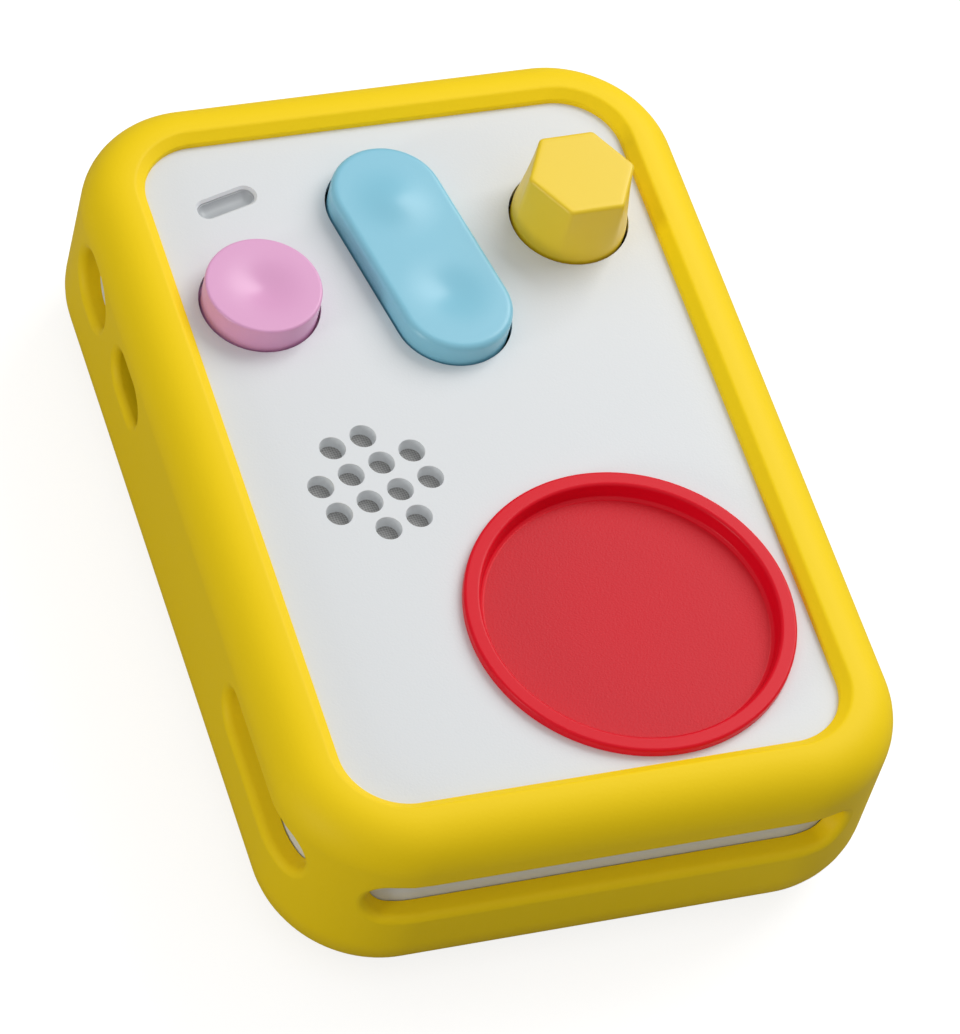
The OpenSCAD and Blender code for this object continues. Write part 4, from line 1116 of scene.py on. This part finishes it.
def white_floor():
    """Pale floor that looks white, and still takes the object's shadow."""
    made, tree, shader, place = blank_material("studio_floor")
    link = tree.links.new
    grain = node_of(tree, "ShaderNodeTexNoise", Scale=60.0, Detail=3.0)
    link(place, grain.inputs["Vector"])
    toned = node_of(tree, "ShaderNodeMath", operation="MULTIPLY_ADD")
    toned.inputs[1].default_value = 0.01
    toned.inputs[2].default_value = 0.35
    link(grain.outputs["Fac"], toned.inputs[0])
    link(toned.outputs["Value"], shader.inputs["Base Color"])
    rays = tree.nodes.new("ShaderNodeLightPath")
    glow = node_of(tree, "ShaderNodeMapRange")
    glow.inputs["To Max"].default_value = 0.8
    link(rays.outputs["Is Camera Ray"], glow.inputs["Value"])
    link(glow.outputs["Result"], shader.inputs["Emission Strength"])
    shader.inputs["Emission Color"].default_value = (1, 1, 1, 1)
    shader.inputs["Roughness"].default_value = 0.9
    shader.inputs["Specular IOR Level"].default_value = 0.1
    return made


def soft_lamp(name, target, power, bearing, elevation, distance, width):
    """Square soft light that shines at a point, from angles in degrees."""
    bearing, elevation = math.radians(bearing), math.radians(elevation)
    lamp = bpy.data.lights.new(name, "AREA")
    lamp.shape = "SQUARE"
    lamp.size = width
    lamp.energy = power
    obj = bpy.data.objects.new(name, lamp)
    bpy.context.scene.collection.objects.link(obj)
    away = Vector((
        math.cos(bearing) * math.cos(elevation),
        math.sin(bearing) * math.cos(elevation),
        math.sin(elevation),
    ))
    obj.location = target + away * distance
    obj.rotation_euler = (-away).to_track_quat("-Z", "Y").to_euler()
    return obj


class PLAYER_OT_stage(bpy.types.Operator):
    """Set up the pale floor, the soft lights and the camera"""

    bl_idname = "story_player.stage"
    bl_label = "Set up the stage"

    def execute(self, context):
        s = context.scene.player_stage
        scene = context.scene
        scene.view_settings.view_transform = "Standard"
        bm = bmesh.new()
        bmesh.ops.create_grid(bm, x_segments=2, y_segments=2, size=4)
        mesh = bpy.data.meshes.new("floor")
        bm.to_mesh(mesh)
        bm.free()
        mesh.materials.append(white_floor())
        floor = bpy.data.objects.new("floor", mesh)
        scene.collection.objects.link(floor)
        if scene.world is None:
            scene.world = bpy.data.worlds.new("white_room")
        white_room(scene.world, s.horizon_level, s.ceiling_level)
        target = Vector(s.target)
        soft_lamp("main_light", target, s.key_power, **MAIN_LIGHT)
        soft_lamp("fill_light", target, s.fill_power, **FILL_LIGHT)

        back = Vector((
            math.sin(s.bearing) * math.cos(s.elevation),
            -math.cos(s.bearing) * math.cos(s.elevation),
            math.sin(s.elevation),
        ))
        camera = bpy.data.objects.new("camera", bpy.data.cameras.new("camera"))
        scene.collection.objects.link(camera)
        camera.data.lens = s.lens
        camera.data.sensor_width = 36
        camera.data.clip_start, camera.data.clip_end = 0.01, 100
        camera.rotation_mode = "QUATERNION"
        camera.rotation_quaternion = (-back).to_track_quat("-Z", "Y") @ Quaternion(
            (0, 0, 1), s.roll
        )
        camera.location = target + back * s.distance
        scene.camera = camera
        return {"FINISHED"}


OPERATORS = (
    PLAYER_OT_stage, PLAYER_OT_sleeve, PLAYER_OT_body, PLAYER_OT_button,
    PLAYER_OT_rocker, PLAYER_OT_knob, PLAYER_OT_dish, PLAYER_OT_spring,
    PLAYER_OT_inside,
)


class VIEW3D_PT_story_player(bpy.types.Panel):
    """Sizes, colours and steps of the story player"""

    bl_label = "Story player"
    bl_idname = "VIEW3D_PT_story_player"
    bl_space_type = "VIEW_3D"
    bl_region_type = "UI"
    bl_category = "Story player"

    def draw(self, context):
        for group, kind in SETTINGS.items():
            box = self.layout.box()
            box.label(text=kind.__doc__.strip("."))
            for name in kind.__annotations__:
                box.prop(getattr(context.scene, group), name)
        for operator in OPERATORS:
            self.layout.operator(operator.bl_idname)


def register():
    for kind in (*SETTINGS.values(), *OPERATORS, VIEW3D_PT_story_player):
        bpy.utils.register_class(kind)
    for group, kind in SETTINGS.items():
        setattr(bpy.types.Scene, group, PointerProperty(type=kind))


def unregister():
    for group in SETTINGS:
        delattr(bpy.types.Scene, group)
    for kind in (VIEW3D_PT_story_player, *reversed(OPERATORS), *SETTINGS.values()):
        bpy.utils.unregister_class(kind)


def main():
    register()
    bpy.ops.story_player.stage()
    bpy.ops.story_player.sleeve()
    bpy.ops.story_player.body()
    bpy.ops.story_player.button()
    bpy.ops.story_player.rocker()
    bpy.ops.story_player.knob()
    bpy.ops.story_player.dish()
    bpy.ops.story_player.spring()
    bpy.ops.story_player.inside()


if __name__ == "__main__":
    main()
